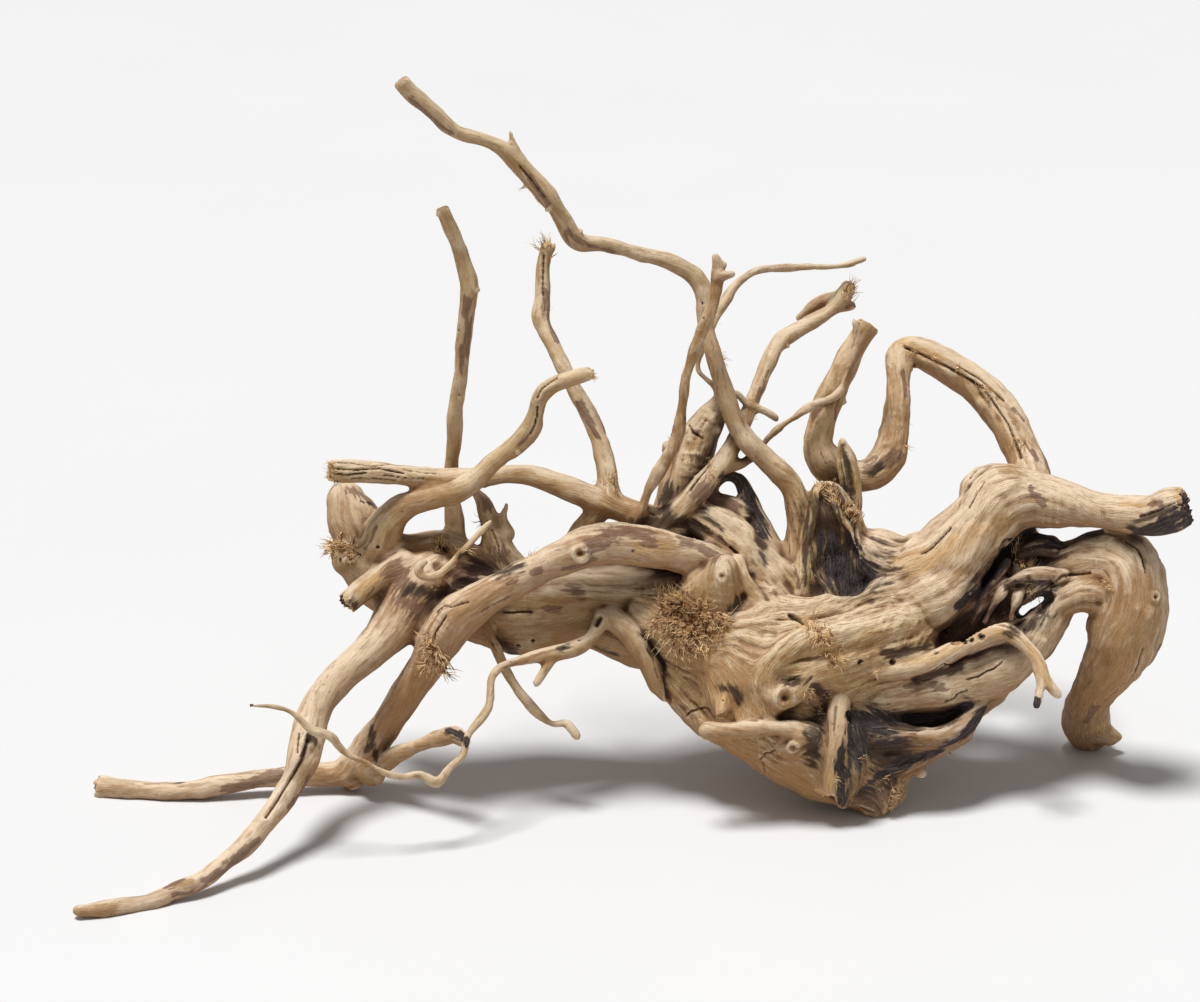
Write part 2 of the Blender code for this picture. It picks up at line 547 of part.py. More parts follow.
def cut_flat(root, collection):
    """Cut away what lies below the level that the root stands on."""
    ground = bmesh.new()
    bmesh.ops.create_cube(ground, size=1)
    mesh = bpy.data.meshes.new("ground")
    ground.to_mesh(mesh)
    ground.free()
    block = bpy.data.objects.new("ground", mesh)
    block.location = (0, 0, -0.5)
    collection.objects.link(block)
    boolean(root, "DIFFERENCE", block)


def stand_on_origin(root):
    """Move the root so that the middle of its box's floor is the origin, and note the move."""
    corners = [Vector(corner) for corner in root.bound_box]
    low = Vector([min(corner[axis] for corner in corners) for axis in range(3)])
    high = Vector([max(corner[axis] for corner in corners) for axis in range(3)])
    sight_origin = -Vector(((low.x + high.x) / 2, (low.y + high.y) / 2, low.z))
    for vertex in root.data.vertices:
        vertex.co += sight_origin
    root["sight_origin"] = sight_origin


def wood_material():
    wood = bpy.data.materials.new("wood")
    wood.use_nodes = True
    shader = wood.node_tree.nodes["Principled BSDF"]
    shader.inputs["Base Color"].default_value = WOOD_COLOUR
    shader.inputs["Roughness"].default_value = WOOD_ROUGHNESS
    shader.inputs["Metallic"].default_value = 0
    return wood


def build_root():
    clear_scene()
    parts = new_collection("spiderwood_root")
    tools = new_collection("tools")
    limbs = [tube(name, stations, parts) for name, stations in LIMBS.items()]
    root = as_mesh(limbs, "spiderwood_root", parts)
    fuse(root, FUSE_VOXEL)
    cut_hollows(root, tools)
    keep_largest_body(root)
    wear_and_thin(root)
    grow_fibres(root, tools)
    cut_flat(root, tools)
    keep_largest_body(root)
    stand_on_origin(root)
    root.data.materials.append(wood_material())


build_root()
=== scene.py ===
"""A spiderwood root: the bare, washed and dried root crown of an azalea, resting on a pale floor."""

import itertools
import math

import bmesh
import bpy
import numpy as np
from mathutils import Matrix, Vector, noise
from mathutils.bvhtree import BVHTree
from mathutils.kdtree import KDTree


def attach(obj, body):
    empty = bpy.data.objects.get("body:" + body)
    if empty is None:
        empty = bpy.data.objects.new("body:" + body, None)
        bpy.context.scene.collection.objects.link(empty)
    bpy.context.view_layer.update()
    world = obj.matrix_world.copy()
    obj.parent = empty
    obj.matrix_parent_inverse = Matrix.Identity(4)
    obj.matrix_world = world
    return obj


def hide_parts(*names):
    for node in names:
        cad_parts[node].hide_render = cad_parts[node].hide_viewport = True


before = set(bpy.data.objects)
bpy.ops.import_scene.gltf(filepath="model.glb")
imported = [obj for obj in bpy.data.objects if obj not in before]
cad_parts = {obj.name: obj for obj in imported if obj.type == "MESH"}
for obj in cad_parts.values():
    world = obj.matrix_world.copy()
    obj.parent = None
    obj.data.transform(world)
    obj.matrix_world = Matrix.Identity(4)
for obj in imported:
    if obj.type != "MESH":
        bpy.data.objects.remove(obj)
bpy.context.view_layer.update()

# The crown is the burl that every root and stem grew from: a swirl of folded wood round an eye,
# with a keel and a heel below. It was dug out whole, washed and dried. Each limb is a round tube
# through listed stations, and all the limbs are later grown together into one skin.
UNIT = 0.674 / 1124  # the root's width in metres, over its width on the sight grid
SIGHT_ANGLE = math.radians(20)
SIGHT_DISTANCE = 2.0
SIGHT_CENTRE = (600, 501)
SIGHT_HEIGHT = 295 * UNIT
SIGHT_ORIGIN = Vector((-0.02267, 0.04286, 0))
limbs = []


def place(across, down, away):
    """The point that the viewer sees at this place of the sight grid, and this far away."""
    spread = 1 + away * UNIT / SIGHT_DISTANCE
    right = (across - SIGHT_CENTRE[0]) * UNIT * spread
    rise = (SIGHT_CENTRE[1] - down) * UNIT * spread
    depth = away * UNIT
    return Vector((
        right,
        depth * math.cos(SIGHT_ANGLE) + rise * math.sin(SIGHT_ANGLE),
        SIGHT_HEIGHT + rise * math.cos(SIGHT_ANGLE) - depth * math.sin(SIGHT_ANGLE),
    ))


def curve_through(stations, step=0.004):
    """Points with radii along a smooth curve through a limb's stations."""
    knots = [Vector((*place(*station[:3]), station[3] * UNIT)) for station in stations]
    spans = [2 * knots[0] - knots[1], *knots, 2 * knots[-1] - knots[-2]]
    samples = []
    for before, start, stop, after in zip(spans, spans[1:], spans[2:], spans[3:]):
        steps = max(2, math.ceil((stop - start).xyz.length / step))
        for part in range(steps):
            t = part / steps
            samples.append(0.5 * (
                2 * start + (stop - before) * t
                + (2 * before - 5 * start + 4 * stop - after) * t ** 2
                + (3 * start - before - 3 * stop + after) * t ** 3
            ))
    return samples + [knots[-1]]


def round_end(last, inner, steps=4):
    """Points that close a tube with half a ball past its last sample."""
    outward = (last.xyz - inner.xyz).normalized()
    points = []
    for step in range(1, steps + 1):
        turn = math.radians(88) * step / steps
        points.append(Vector((*(last.xyz + outward * last.w * math.sin(turn)), last.w * math.cos(turn))))
    return points


class Limb:
    """One root or stem: the places along its middle, and at each its radius and its heading."""

    def __init__(self, name, stations, tone, gnarl=1.0, melt=0.0, combed=0.15, end="round", inside=False):
        samples = curve_through(stations)
        for sample in samples:
            sample.w *= 1 + 0.08 * noise.noise(sample.xyz * 45)
        self.name = name
        self.tone = tone
        self.gnarl = gnarl
        self.melt = melt
        self.combed = combed
        self.end = end
        self.inside = inside
        self.places = np.array([sample.xyz + SIGHT_ORIGIN for sample in samples])
        self.radii = np.array([sample.w for sample in samples])
        self.girth = self.radii.mean()
        forward = np.gradient(self.places, axis=0)
        self.forward = forward / np.linalg.norm(forward, axis=1)[:, None]
        rounded = round_end(samples[0], samples[1])[::-1] + samples
        if end == "round":
            rounded += round_end(samples[-1], samples[-2])
        self.outline = rounded

    def nearest(self, points):
        """For each point, the nearest sample, and its distance from the middle in local radii."""
        closest = np.zeros(len(points), np.int32)
        nearness = np.zeros(len(points))
        for start in range(0, len(points), 20000):
            part = slice(start, start + 20000)
            gaps = ((points[part, None] - self.places[None]) ** 2).sum(2) / self.radii[None] ** 2
            closest[part] = gaps.argmin(1)
            nearness[part] = np.sqrt(gaps.min(1))
        return closest, nearness


def grow(tone, stations, gnarl=1.0, melt=0.0, combed=0.15, sawn=(), torn=(), inside=False):
    """Add a group of limbs: their tone and stations, how gnarled, how melted together and how combed
    by their fine grain they are, which of their tips are sawn or torn, and if they stand in a hollow."""
    for name, points in stations.items():
        end = "sawn" if name in sawn else "torn" if name in torn else "round"
        limbs.append(Limb(name, points, tone, gnarl, melt, combed, end, inside))


def seen(red, green, blue):
    """A colour as the eye judges it, from 0 to 255, as the light that it gives back."""
    return tuple((value / 255 / 1.055 + 0.0521) ** 2.4 for value in (red, green, blue))


marks = []
carvings = []


def mark(stain, width, *path):
    """Stain the wood along a path that the viewer sees on it: bark, rot, char, fresh or tan."""
    marks.append((stain, width * UNIT, path))


def crack(width, depth, *path):
    """A split in the wood along a path that the viewer sees, dark inside."""
    carvings.append(("crack", width * UNIT, -depth * UNIT, path))
    marks.append(("rot", 0.5 * width * UNIT, path))


def ridge(width, height, *path):
    """A raised fold or a nub on the wood, or a dent where its height is below zero."""
    carvings.append(("ridge", width * UNIT, height * UNIT, path))


def bore(width, *places):
    """Holes that beetles left, each seen at its place."""
    for where in places:
        crack(width, 1.6 * width, where)
        mark("char", 0.9 * width, where)


def knot(width, height, where):
    """A healed knot: a raised ring round a sunken eye."""
    carvings.append(("knot", width * UNIT, height * UNIT, [where]))
    marks.append(("tan", 0.6 * width * UNIT, [where]))


def wrinkles(count, reach, width, height, start, stop):
    """Small folds across the grain, spread from start to stop, each reaching this far both ways."""
    length = math.dist(start, stop)
    side = ((stop[1] - start[1]) / length, (start[0] - stop[0]) / length)
    for number in range(count):
        part = (number + 0.35 * math.sin(5 * number)) / max(1, count - 1)
        middle = [start[axis] + (stop[axis] - start[axis]) * part for axis in (0, 1)]
        first = reach * (0.75 + 0.35 * math.sin(7 * number))
        last = reach * (0.75 + 0.35 * math.cos(4 * number))
        ends = [[middle[axis] + way * side[axis] for axis in (0, 1)] for way in (-first, last)]
        ridge(width, 0.3 * height * (1 + 0.5 * math.sin(3 * number)), ends[0], middle, ends[1])


CROWN_TONE = seen(204, 174, 126)
grow(CROWN_TONE, {
    "crown_front": [
        (655, 614, 0, 28), (705, 642, 0, 42), (760, 656, -5, 54), (820, 658, 0, 57), (885, 642, 5, 52),
    ],
    "crown_back": [(690, 610, 55, 34), (760, 630, 70, 48), (830, 640, 75, 54), (900, 620, 65, 46)],
    "crown_keel": [
        (700, 686, 12, 34), (745, 712, 8, 46), (795, 736, 5, 52), (838, 758, 5, 49), (868, 776, 8, 38),
    ],
    "crown_heel": [(850, 700, 20, 48), (874, 745, 15, 42), (880, 790, 8, 28)],
    "crown_flank": [(655, 612, 20, 16), (675, 650, 10, 20), (692, 690, 10, 28), (715, 710, 10, 32)],
    "crown_lip": [
        (764, 606, -14, 12), (800, 610, -24, 14), (842, 604, -22, 15), (872, 594, -14, 15), (910, 596, -4, 24),
    ],
    "fold_outer": [(765, 616, -32, 14), (728, 640, -34, 15), (714, 672, -30, 14), (722, 704, -36, 13)],
    "fold_swirl": [
        (905, 622, -28, 18), (850, 632, -48, 15), (805, 640, -56, 14), (776, 656, -58, 13), (763, 682, -56, 12),
        (770, 706, -50, 12),
    ],
    "fold_eye": [(885, 652, -38, 13), (840, 664, -50, 12), (812, 676, -56, 11), (803, 694, -56, 10)],
    "burl_eye": [(788, 690, -44, 18), (783, 700, -58, 12)],
    "crown_cheek": [(742, 640, -14, 32), (742, 676, -22, 36), (748, 706, -26, 30)],
    "crown_brow": [(872, 640, -22, 22), (830, 654, -34, 22), (798, 668, -40, 18)],
    "rear_root": [
        (825, 690, 80, 42), (815, 711, 120, 27), (797, 720, 160, 18), (775, 720, 196, 14), (752, 717, 224, 10),
    ],
    "rear_strand": [
        (1000, 530, 62, 22), (960, 575, 100, 22), (900, 612, 122, 20), (840, 640, 128, 17), (775, 632, 122, 18),
        (715, 612, 96, 20), (650, 600, 62, 22),
    ],
    "rear_fold": [(905, 650, 92, 22), (850, 690, 108, 18), (790, 690, 98, 20), (735, 660, 88, 20)],
    "rear_stub": [(890, 622, 96, 22), (900, 606, 132, 14), (905, 596, 158, 12.5)],
}, gnarl=0.45, melt=1.0, combed=1.0, sawn={"rear_stub"})
crack(3, 6, (790, 616), (800, 621), (806, 624))
crack(1.3, 4, (686, 716), (691, 711), (697, 710), (706, 707), (714, 717))
crack(1.2, 3, (760, 760), (766, 753), (770, 753), (775, 750))
crack(1.2, 3, (762, 763), (765, 770), (764, 777))
crack(1.4, 3, (788, 681), (795, 679))
mark("fresh", 9, (806, 622), (818, 632), (828, 646), (836, 662))
mark("rot", 9, (674, 612), (690, 618), (706, 630))
mark("rot", 5, (812, 684), (822, 694), (826, 710))
mark("rot", 5, (722, 688), (734, 690), (739, 700))
mark("rot", 6, (784, 682), (796, 680))
mark("tan", 26, (718, 740), (745, 758), (775, 776), (800, 786))
mark("tan", 18, (700, 664), (722, 668), (744, 676), (738, 694))
mark("tan", 6, (700, 745), (722, 762))
mark("rot", 8, (818, 716), (814, 732), (812, 760))
wrinkles(6, 12, 2.4, 2.4, (884, 616), (926, 640))
knot(8, 3, (784, 697))
knot(13, 3, (786, 699))
knot(6, 2.5, (793, 748))
ridge(7, 5, (813, 736))
ridge(5, 4, (771, 591))
ridge(5, 4, (746, 604))

# The trunk runs from the crown to the left hub, where a thick club and a sawn stub stand out of it.
# Its wood is the same, greyer and worn smooth, with short wrinkles across it.
TRUNK_TONE = seen(184, 154, 112)
grow(TRUNK_TONE, {
    "trunk": [
        (760, 612, 15, 44), (700, 599, 18, 34), (650, 598, 25, 32), (600, 600, 28, 38), (550, 603, 30, 44),
        (505, 604, 32, 46), (465, 598, 28, 42), (430, 588, 22, 38),
    ],
    "belly": [(560, 612, 25, 30), (600, 626, 25, 26), (640, 640, 22, 28), (690, 640, 15, 30)],
    "under_shelf": [(486, 622, 20, 22), (520, 632, 22, 24), (560, 628, 25, 22)],
    "club": [
        (430, 592, 20, 36), (400, 586, 18, 36), (375, 568, 20, 33), (362, 540, 24, 28), (352, 515, 28, 27),
        (346, 502, 30, 21),
    ],
    "hub_shelf": [
        (380, 548, 14, 18), (408, 556, 22, 22), (440, 552, 26, 22), (480, 572, 26, 25), (520, 580, 28, 24),
    ],
    "hub_cheek": [(350, 556, 16, 22), (366, 552, 10, 21), (386, 556, 8, 19)],
    "cut_stub": [(402, 568, -5, 18), (384, 574, -14, 13), (364, 590, -24, 12), (347, 604, -32, 12.5)],
}, gnarl=0.3, torn={"cut_stub"})
# Painted light: a pale fresh stain along the cut stub, which lies in shade.
mark("fresh", 9, (396, 568), (378, 578), (364, 590))
mark("bark", 3, (374, 590), (366, 600))
mark("char", 7, (342, 599), (344, 608), (352, 614))
mark("rot", 5, (352, 600), (358, 608))
wrinkles(7, 9, 1.6, 1.4, (511, 606), (537, 604))
wrinkles(6, 12, 2.4, 1.6, (640, 590), (690, 588))
mark("bark", 6, (570, 588), (581, 592))
mark("tan", 12, (462, 622), (482, 628), (505, 640))
mark("tan", 16, (420, 548), (460, 552), (505, 560))
mark("bark", 10, (394, 568), (402, 580), (408, 592))
mark("bark", 11, (462, 576), (482, 566), (500, 556))
mark("rot", 8, (410, 590), (428, 594), (450, 590), (474, 580))
mark("rot", 8, (470, 566), (500, 572), (520, 566))
mark("bark", 10, (402, 600), (420, 610), (438, 604))
mark("bark", 5, (352, 490), (364, 498), (376, 507))
mark("char", 2.5, (361, 501), (371, 504))
mark("tan", 7, (372, 576), (358, 590))
mark("char", 6, (338, 601), (344, 612))
mark("rot", 7, (500, 642), (512, 652))
bore(2, (378, 547), (359, 555), (340, 560))
bore(2.5, (533, 641), (518, 646))
crack(3, 6, (600, 618), (597, 624))
ridge(4, 4, (345, 560))
ridge(8, 4, (400, 546))
knot(5, 2, (352, 556))

# Two long roots reach down to the left, the front one split, and an arched limb feeds the rear one.
ROOT_TONE = seen(214, 184, 150)
grow(ROOT_TONE, {
    "left_front_root": [
        (425, 590, 5, 38), (402, 616, -5, 30), (381, 640, -18, 21), (359, 660, -30, 18), (337, 681, -42, 17),
        (320, 701, -54, 16.5), (311, 721, -64, 16.5), (307, 742, -76, 18), (303, 760, -86, 17),
        (294, 780, -97, 13), (281.5, 800, -110, 12), (266, 820, -124, 10.5), (250, 840, -138, 10),
        (227, 861, -153, 9), (200, 881, -170, 8.7), (180, 889, -178, 8.3), (150, 902, -189, 8),
        (118, 906.5, -200, 8.8), (97, 909.5, -208, 8.5), (80, 910.5, -213, 7),
    ],
    "left_arch": [
        (728, 578, 0, 24), (700, 560, -10, 19), (650, 547, -28, 21), (600, 544, -42, 21), (560, 558, -46, 18),
        (520, 578, -44, 17), (485, 598, -42, 19), (456, 618, -38, 23), (437, 643, -28, 21), (427, 662, -16, 19),
        (404, 697, 5, 17), (386, 725, 25, 15.5), (367, 751, 42, 18), (352, 772, 50, 19),
    ],
    "left_rear_root": [
        (352, 772, 50, 17), (330, 774, 48, 13), (300, 775, 44, 12), (260, 779, 38, 10.5), (220, 785, 34, 11.5),
        (180, 791, 34, 10.5), (140, 790.5, 38, 9.8), (98, 786, 45, 11),
    ],
    "knee": [(352, 765, 48, 16), (351, 781, 54, 11)],
}, gnarl=0.35, torn={"left_rear_root"})
wrinkles(8, 11, 2.0, 1.8, (432, 634), (452, 606))
mark("tan", 22, (404, 606), (424, 600), (440, 600))
mark("tan", 16, (462, 612), (484, 598), (506, 588))
mark("tan", 18, (430, 660), (404, 697), (386, 725))
mark("bark", 8, (592, 545), (606, 535), (626, 531), (650, 537))
mark("tan", 9, (585, 540), (625, 530), (668, 540))
mark("rot", 5, (308, 736), (316, 742))
mark("bark", 5, (206, 880), (222, 872))
mark("rot", 4, (372, 728), (372, 742), (366, 752))
knot(8, 4, (580, 553))
mark("fresh", 7, (640, 548), (656, 551), (670, 554))
bore(1.6, (633, 551))
crack(1.2, 4, (437, 612), (444, 605), (452, 607), (459, 604), (468, 602))
crack(1.2, 3, (434, 640), (435, 632), (440, 625), (446, 616))
mark("rot", 3, (371, 732), (374, 746), (376, 762))
mark("tan", 9, (368, 752), (360, 776))
crack(2.2, 6, (308, 737), (302, 760), (283, 790), (266, 817))
knot(6, 3, (309, 741))
crack(1.6, 3, (299, 734), (297, 752))
mark("bark", 6, (256, 841), (244, 851), (229, 865))
mark("bark", 3, (206, 885), (190, 892), (174, 896))
mark("bark", 4, (308, 780), (299, 795), (290, 806))
mark("tan", 7, (74, 911), (92, 910), (112, 909))
mark("bark", 7, (230, 790), (254, 782), (282, 774))
mark("tan", 10, (306, 774), (330, 775), (350, 770))

# Out of the left hub grow a torn shelf root, a serpentine, two uprights, a spike and thin twigs.
HUB_TONE = seen(205, 174, 128)
grow(HUB_TONE, {
    "shelf_root": [
        (672, 530, 12, 18), (645, 518, 10, 15), (620, 508, 8, 14), (590, 498, 5, 13.5), (560, 486, 2, 12.5),
        (530, 476, 0, 11), (505, 474, -2, 9.5), (478, 478, -4, 9.5), (440, 479, -10, 11), (400, 475, -22, 11.5),
        (360, 472, -36, 12), (330, 470, -48, 12),
    ],
    "shelf_foot": [(604, 502, 8, 13), (584, 530, 18, 13), (570, 566, 28, 20)],
    "serpentine": [
        (372, 552, 10, 22), (386, 524, 2, 19), (404, 507, -10, 14), (430, 498, -20, 12.5), (455, 492, -29, 11.5),
        (475, 480, -34, 11), (492, 463, -40, 10), (514, 447, -50, 9.5), (530, 431, -60, 11), (536, 413, -70, 8.5),
        (540, 397, -80, 9), (555, 384, -90, 8.5), (575, 377, -98, 7.5), (593, 372, -102, 6),
    ],
    "hub_upright": [
        (450, 570, 30, 18), (455, 540, 32, 11.5), (454, 515, 31, 10), (452, 490, 27, 8.5), (452, 462, 20, 8),
        (455, 440, 10, 8), (455, 410, -5, 8), (460, 380, -18, 8), (463, 345, -32, 8), (467, 310, -46, 9),
        (470, 287, -54, 10), (463, 262, -60, 9), (455, 240, -68, 8), (447, 222, -76, 8.5), (441, 207, -82, 8),
    ],
    "shelf_upright": [
        (609, 500, 10, 16), (608, 485, 13, 12), (606, 468, 17, 10.5), (600, 442, 24, 10), (589, 415, 32, 9.5),
        (576, 392, 40, 9), (562, 365, 50, 8.5), (551, 342, 58, 8), (541, 320, 64, 8.5), (542, 300, 66, 8),
        (542, 275, 66, 8), (545, 257, 64, 8), (549, 244, 62, 9),
    ],
    "spike": [(504, 575, 30, 30), (497, 550, 28, 18), (490, 524, 26, 11), (484, 504, 24, 8), (476, 492, 22, 5)],
    "hub_thorn": [(506, 534, 24, 8), (503, 519, 22, 4), (507, 504, 20, 2.5)],
    "hub_twig": [
        (425, 562, -48, 3.5), (420, 565, -49, 4), (418, 571, -50, 4.5), (424, 577, -50, 4.8),
        (436, 576, -48, 4.8), (448, 567, -46, 4.5), (462, 552, -44, 4), (478, 535, -42, 3.5), (491, 521, -41, 3),
    ],
    "twig_foot": [(442, 588, -14, 8), (438, 578, -46, 5)],
}, gnarl=0.4, sawn={"hub_upright"}, torn={"shelf_root", "shelf_upright", "serpentine"})
mark("tan", 14, (398, 512), (420, 500), (450, 494))
wrinkles(5, 8, 1.8, 1.6, (492, 548), (500, 532))
mark("bark", 5, (466, 300), (468, 330), (462, 370))
mark("bark", 4, (545, 290), (546, 316), (556, 340))
mark("bark", 4, (580, 404), (596, 436))
crack(1.2, 2.5, (328, 463), (350, 462), (372, 466), (390, 464))
crack(1.3, 3.5, (330, 468), (354, 470), (380, 468), (404, 473))
crack(1.2, 3, (329, 473), (348, 475), (366, 473))
crack(1.2, 2.5, (352, 479), (372, 478), (396, 481))
crack(1, 2, (398, 468), (420, 472), (436, 473))
crack(1, 2, (384, 475), (410, 479), (424, 478))
mark("tan", 5, (431, 480), (452, 483))
mark("tan", 9, (612, 500), (628, 508), (640, 516))
mark("rot", 7, (634, 524), (650, 520), (668, 524))
mark("bark", 5, (480, 492), (489, 507))
mark("rot", 4, (437, 541), (444, 548))
mark("rot", 4, (461, 556), (470, 551))
crack(1.6, 4, (434, 536), (440, 546), (448, 552))
ridge(3.5, 4, (477, 290))
ridge(3.5, 4, (466, 414))
ridge(3.5, 4, (613, 441))
ridge(3, 3, (452, 350))
ridge(3, 3, (437, 215))
ridge(3.5, 3, (518, 452))
bore(1.4, (460, 395), (458, 330), (402, 512))

# From the middle rise the long reaching arm and the slender stems that cross it.
STEM_TONE = seen(206, 178, 136)
DARK_STEM_TONE = seen(165, 128, 84)
grow(DARK_STEM_TONE, {
    "dark_stem": [
        (636, 528, 0, 8), (642, 508, -5, 6.5), (650, 487, -9, 6), (664, 463, -13, 6.5), (676, 440, -17, 6.5),
        (682, 405, -23, 6), (687, 372, -29, 6), (700, 335, -36, 6), (712, 308, -40, 6), (717, 285, -43, 6),
        (716, 257, -46, 4.5),
    ],
    "dark_stem_stub": [(715, 280, -43, 5), (724, 264, -44, 3)],
    "dark_stem_peg": [(716, 278, -46, 5), (733, 274, -54, 3.5)],
    "splinter": [(842, 296, 106, 6.5), (820, 302, 114, 7.5), (797, 321, 120, 4.5)],
    "vine": [
        (712, 474, 10, 6), (730, 468, 18, 5), (745, 462, 24, 5), (759, 449, 29, 4.5), (770, 436, 31, 4),
        (783, 425, 32, 4.5), (796, 417, 33, 4.5), (806, 409, 35, 4.5), (820, 403, 37, 4.5), (832, 399, 39, 4.5),
        (843, 388, 42, 4), (847, 372, 44, 4.5), (853, 352, 45, 4.5), (856, 332, 45, 4), (853, 320, 45, 2.5),
    ],
}, gnarl=0.6, torn={"splinter"})
grow(STEM_TONE, {
    "long_arm": [
        (800, 572, 22, 24), (799, 535, 20, 14), (798, 508, 18, 12.5), (790, 484, 15, 12.5), (765, 459, 10, 12),
        (740, 430, 5, 11.5), (727, 398, 0, 10.5), (714, 358, -3, 9.5), (706, 325, -5, 9), (705, 298, -8, 10),
        (694, 276, -12, 10), (670, 262, -20, 9), (640, 254, -28, 8), (605, 245, -42, 7.5), (577, 241, -54, 9),
        (562, 218, -66, 8.5), (545, 194, -78, 9.5), (522, 168, -88, 9.5), (503, 149, -96, 8.5),
        (480, 139, -104, 7.5), (456, 132, -113, 8), (434, 112, -124, 8), (412, 94, -134, 8.5), (400, 80, -140, 9),
    ],
    "long_arm_twig": [(528, 172, -88, 7), (516, 150, -93, 4), (510, 132, -96, 2.8)],
    "right_twig": [
        (720, 402, 26, 6), (716, 388, 22, 5), (706, 379, 20, 4.5), (698, 368, 20, 4.5), (703, 345, 24, 5),
        (716, 316, 32, 5), (729, 296, 40, 5.5), (741, 281, 48, 5.5), (760, 270, 58, 4.5), (800, 267, 76, 4.5),
        (840, 266, 92, 4), (864, 259, 104, 4),
    ],
    "hooked_twig": [
        (720, 402, 28, 6), (735, 393, 30, 4), (748, 405, 34, 4), (765, 411, 38, 3.5), (776, 418, 42, 3.5),
    ],
    "forked_arm": [
        (655, 540, 12, 18), (666, 522, 6, 15), (684, 505, 3, 13), (700, 488, 4, 12), (717, 469, 12, 10.5),
        (730, 450, 21, 9.5), (740, 430, 31, 8.5), (750, 408, 42, 8), (757, 390, 51, 8), (767, 365, 63, 8.5),
        (780, 342, 75, 9), (805, 326, 88, 8), (832, 310, 100, 7), (852, 306, 108, 4.5),
    ],
    "forked_arm_tip": [(828, 311, 99, 7), (842, 296, 104, 8.5), (850, 284, 107, 8)],
}, gnarl=0.45, sawn={"long_arm"}, torn={"forked_arm_tip"})
mark("tan", 14, (798, 540), (796, 508), (784, 482))
mark("bark", 4, (412, 100), (432, 120), (450, 134))
mark("bark", 3, (566, 232), (590, 246), (612, 252))
mark("bark", 3, (530, 178), (548, 204))
mark("tan", 5, (500, 150), (520, 168))
mark("bark", 2.6, (768, 371), (763, 386), (757, 401))
mark("tan", 4, (766, 380), (752, 408), (743, 420))
mark("rot", 6, (640, 524), (652, 520), (664, 526))
mark("tan", 4, (528, 172), (540, 190), (546, 198))
crack(1.6, 3, (520, 166), (531, 180), (544, 197))
ridge(4, 5, (548, 209))
ridge(3.5, 4, (683, 256))
ridge(3, 3, (613, 260))
ridge(3.5, 5, (787, 346))
ridge(3, 3, (580, 232))
bore(1.4, (703, 303), (704, 318), (690, 470))

# Behind the stems stands a short gnarled limb, with a rotten loop and a dark root that bends under it.
GNARLED_TONE = seen(214, 186, 146)
grow(GNARLED_TONE, {
    "gnarled_limb": [
        (668, 540, 40, 26), (677, 505, 42, 23), (684, 478, 42, 24), (690, 455, 42, 25), (700, 435, 38, 21),
        (714, 412, 30, 13), (722, 395, 27, 6),
    ],
    "gnarled_bump": [(690, 460, 40, 18), (670, 450, 42, 11)],
    "loop_root": [
        (705, 520, 30, 15), (709, 492, 30, 9), (722, 478, 31, 6), (738, 479, 33, 7), (748, 496, 34, 9),
        (758, 524, 34, 13), (766, 556, 30, 22),
    ],
    "loop_sill": [(700, 505, 30, 12), (722, 502, 28, 9), (745, 512, 28, 11)],
    "purple_root": [(700, 520, 15, 20), (725, 532, 12, 22), (748, 552, 10, 22), (768, 580, 10, 26)],
}, gnarl=0.9)
mark("char", 7, (722, 478), (741, 480), (751, 497), (757, 514), (762, 536))
mark("rot", 6, (748, 500), (752, 520), (762, 544))
mark("bark", 9, (702, 492), (718, 500), (732, 506))
mark("rot", 5, (700, 506), (712, 520), (722, 530))
mark("rot", 9, (656, 524), (676, 524), (700, 528))
mark("rot", 6, (668, 520), (664, 500), (672, 486))
mark("bark", 7, (682, 538), (700, 546), (716, 556))
mark("rot", 5, (762, 552), (766, 562))
mark("bark", 4, (698, 460), (704, 452))
mark("tan", 6, (690, 446), (702, 440))
wrinkles(8, 8, 2.4, 3.6, (690, 476), (698, 428))
wrinkles(5, 7, 2.2, 3, (703, 426), (712, 408))
crack(1.3, 5, (688, 424), (693, 432), (702, 438))
ridge(5, 6, (717, 430))
ridge(5, 5, (712, 418))

# The stump snapped off above the crown and rotted hollow. A worn spur stands behind its torn rim.
STUMP_TONE = seen(190, 160, 108)
grow(STUMP_TONE, {
    "stump_foot": [(756, 600, 12, 26), (782, 580, 14, 24), (800, 600, 14, 26)],
    "stump": [(830, 602, 20, 38), (832, 565, 18, 33), (832, 535, 17, 28), (829, 510, 16, 22), (827, 500, 16, 19)],
    "stump_left": [(800, 610, 5, 24), (805, 570, 4, 13), (811, 530, 8, 10), (815, 502, 12, 8), (817, 492, 14, 6)],
    "stump_right": [
        (852, 600, 20, 22), (860, 560, 22, 14), (856, 530, 20, 12), (848, 510, 18, 9), (838, 494, 18, 7),
    ],
    "spur": [(851, 520, 34, 12), (851, 490, 33, 10), (847, 466, 31, 10), (843, 448, 29, 7), (842, 440, 28, 4)],
}, gnarl=0.8, combed=0.8)
wrinkles(9, 16, 2.2, 2.4, (766, 592), (802, 568))
mark("rot", 28, (826, 512), (827, 530), (831, 560), (846, 580), (868, 578))
mark("char", 15, (830, 548), (834, 566), (844, 580), (864, 582))
mark("char", 8, (852, 540), (860, 560), (872, 574))
mark("rot", 4, (812, 522), (806, 550), (806, 584))
mark("fresh", 8, (814, 492), (826, 488), (838, 498), (850, 512), (860, 520))
mark("rot", 3.5, (842, 446), (846, 462), (850, 482))
mark("rot", 4, (844, 488), (852, 492))
crack(2, 4, (853, 500), (855, 520), (858, 545))

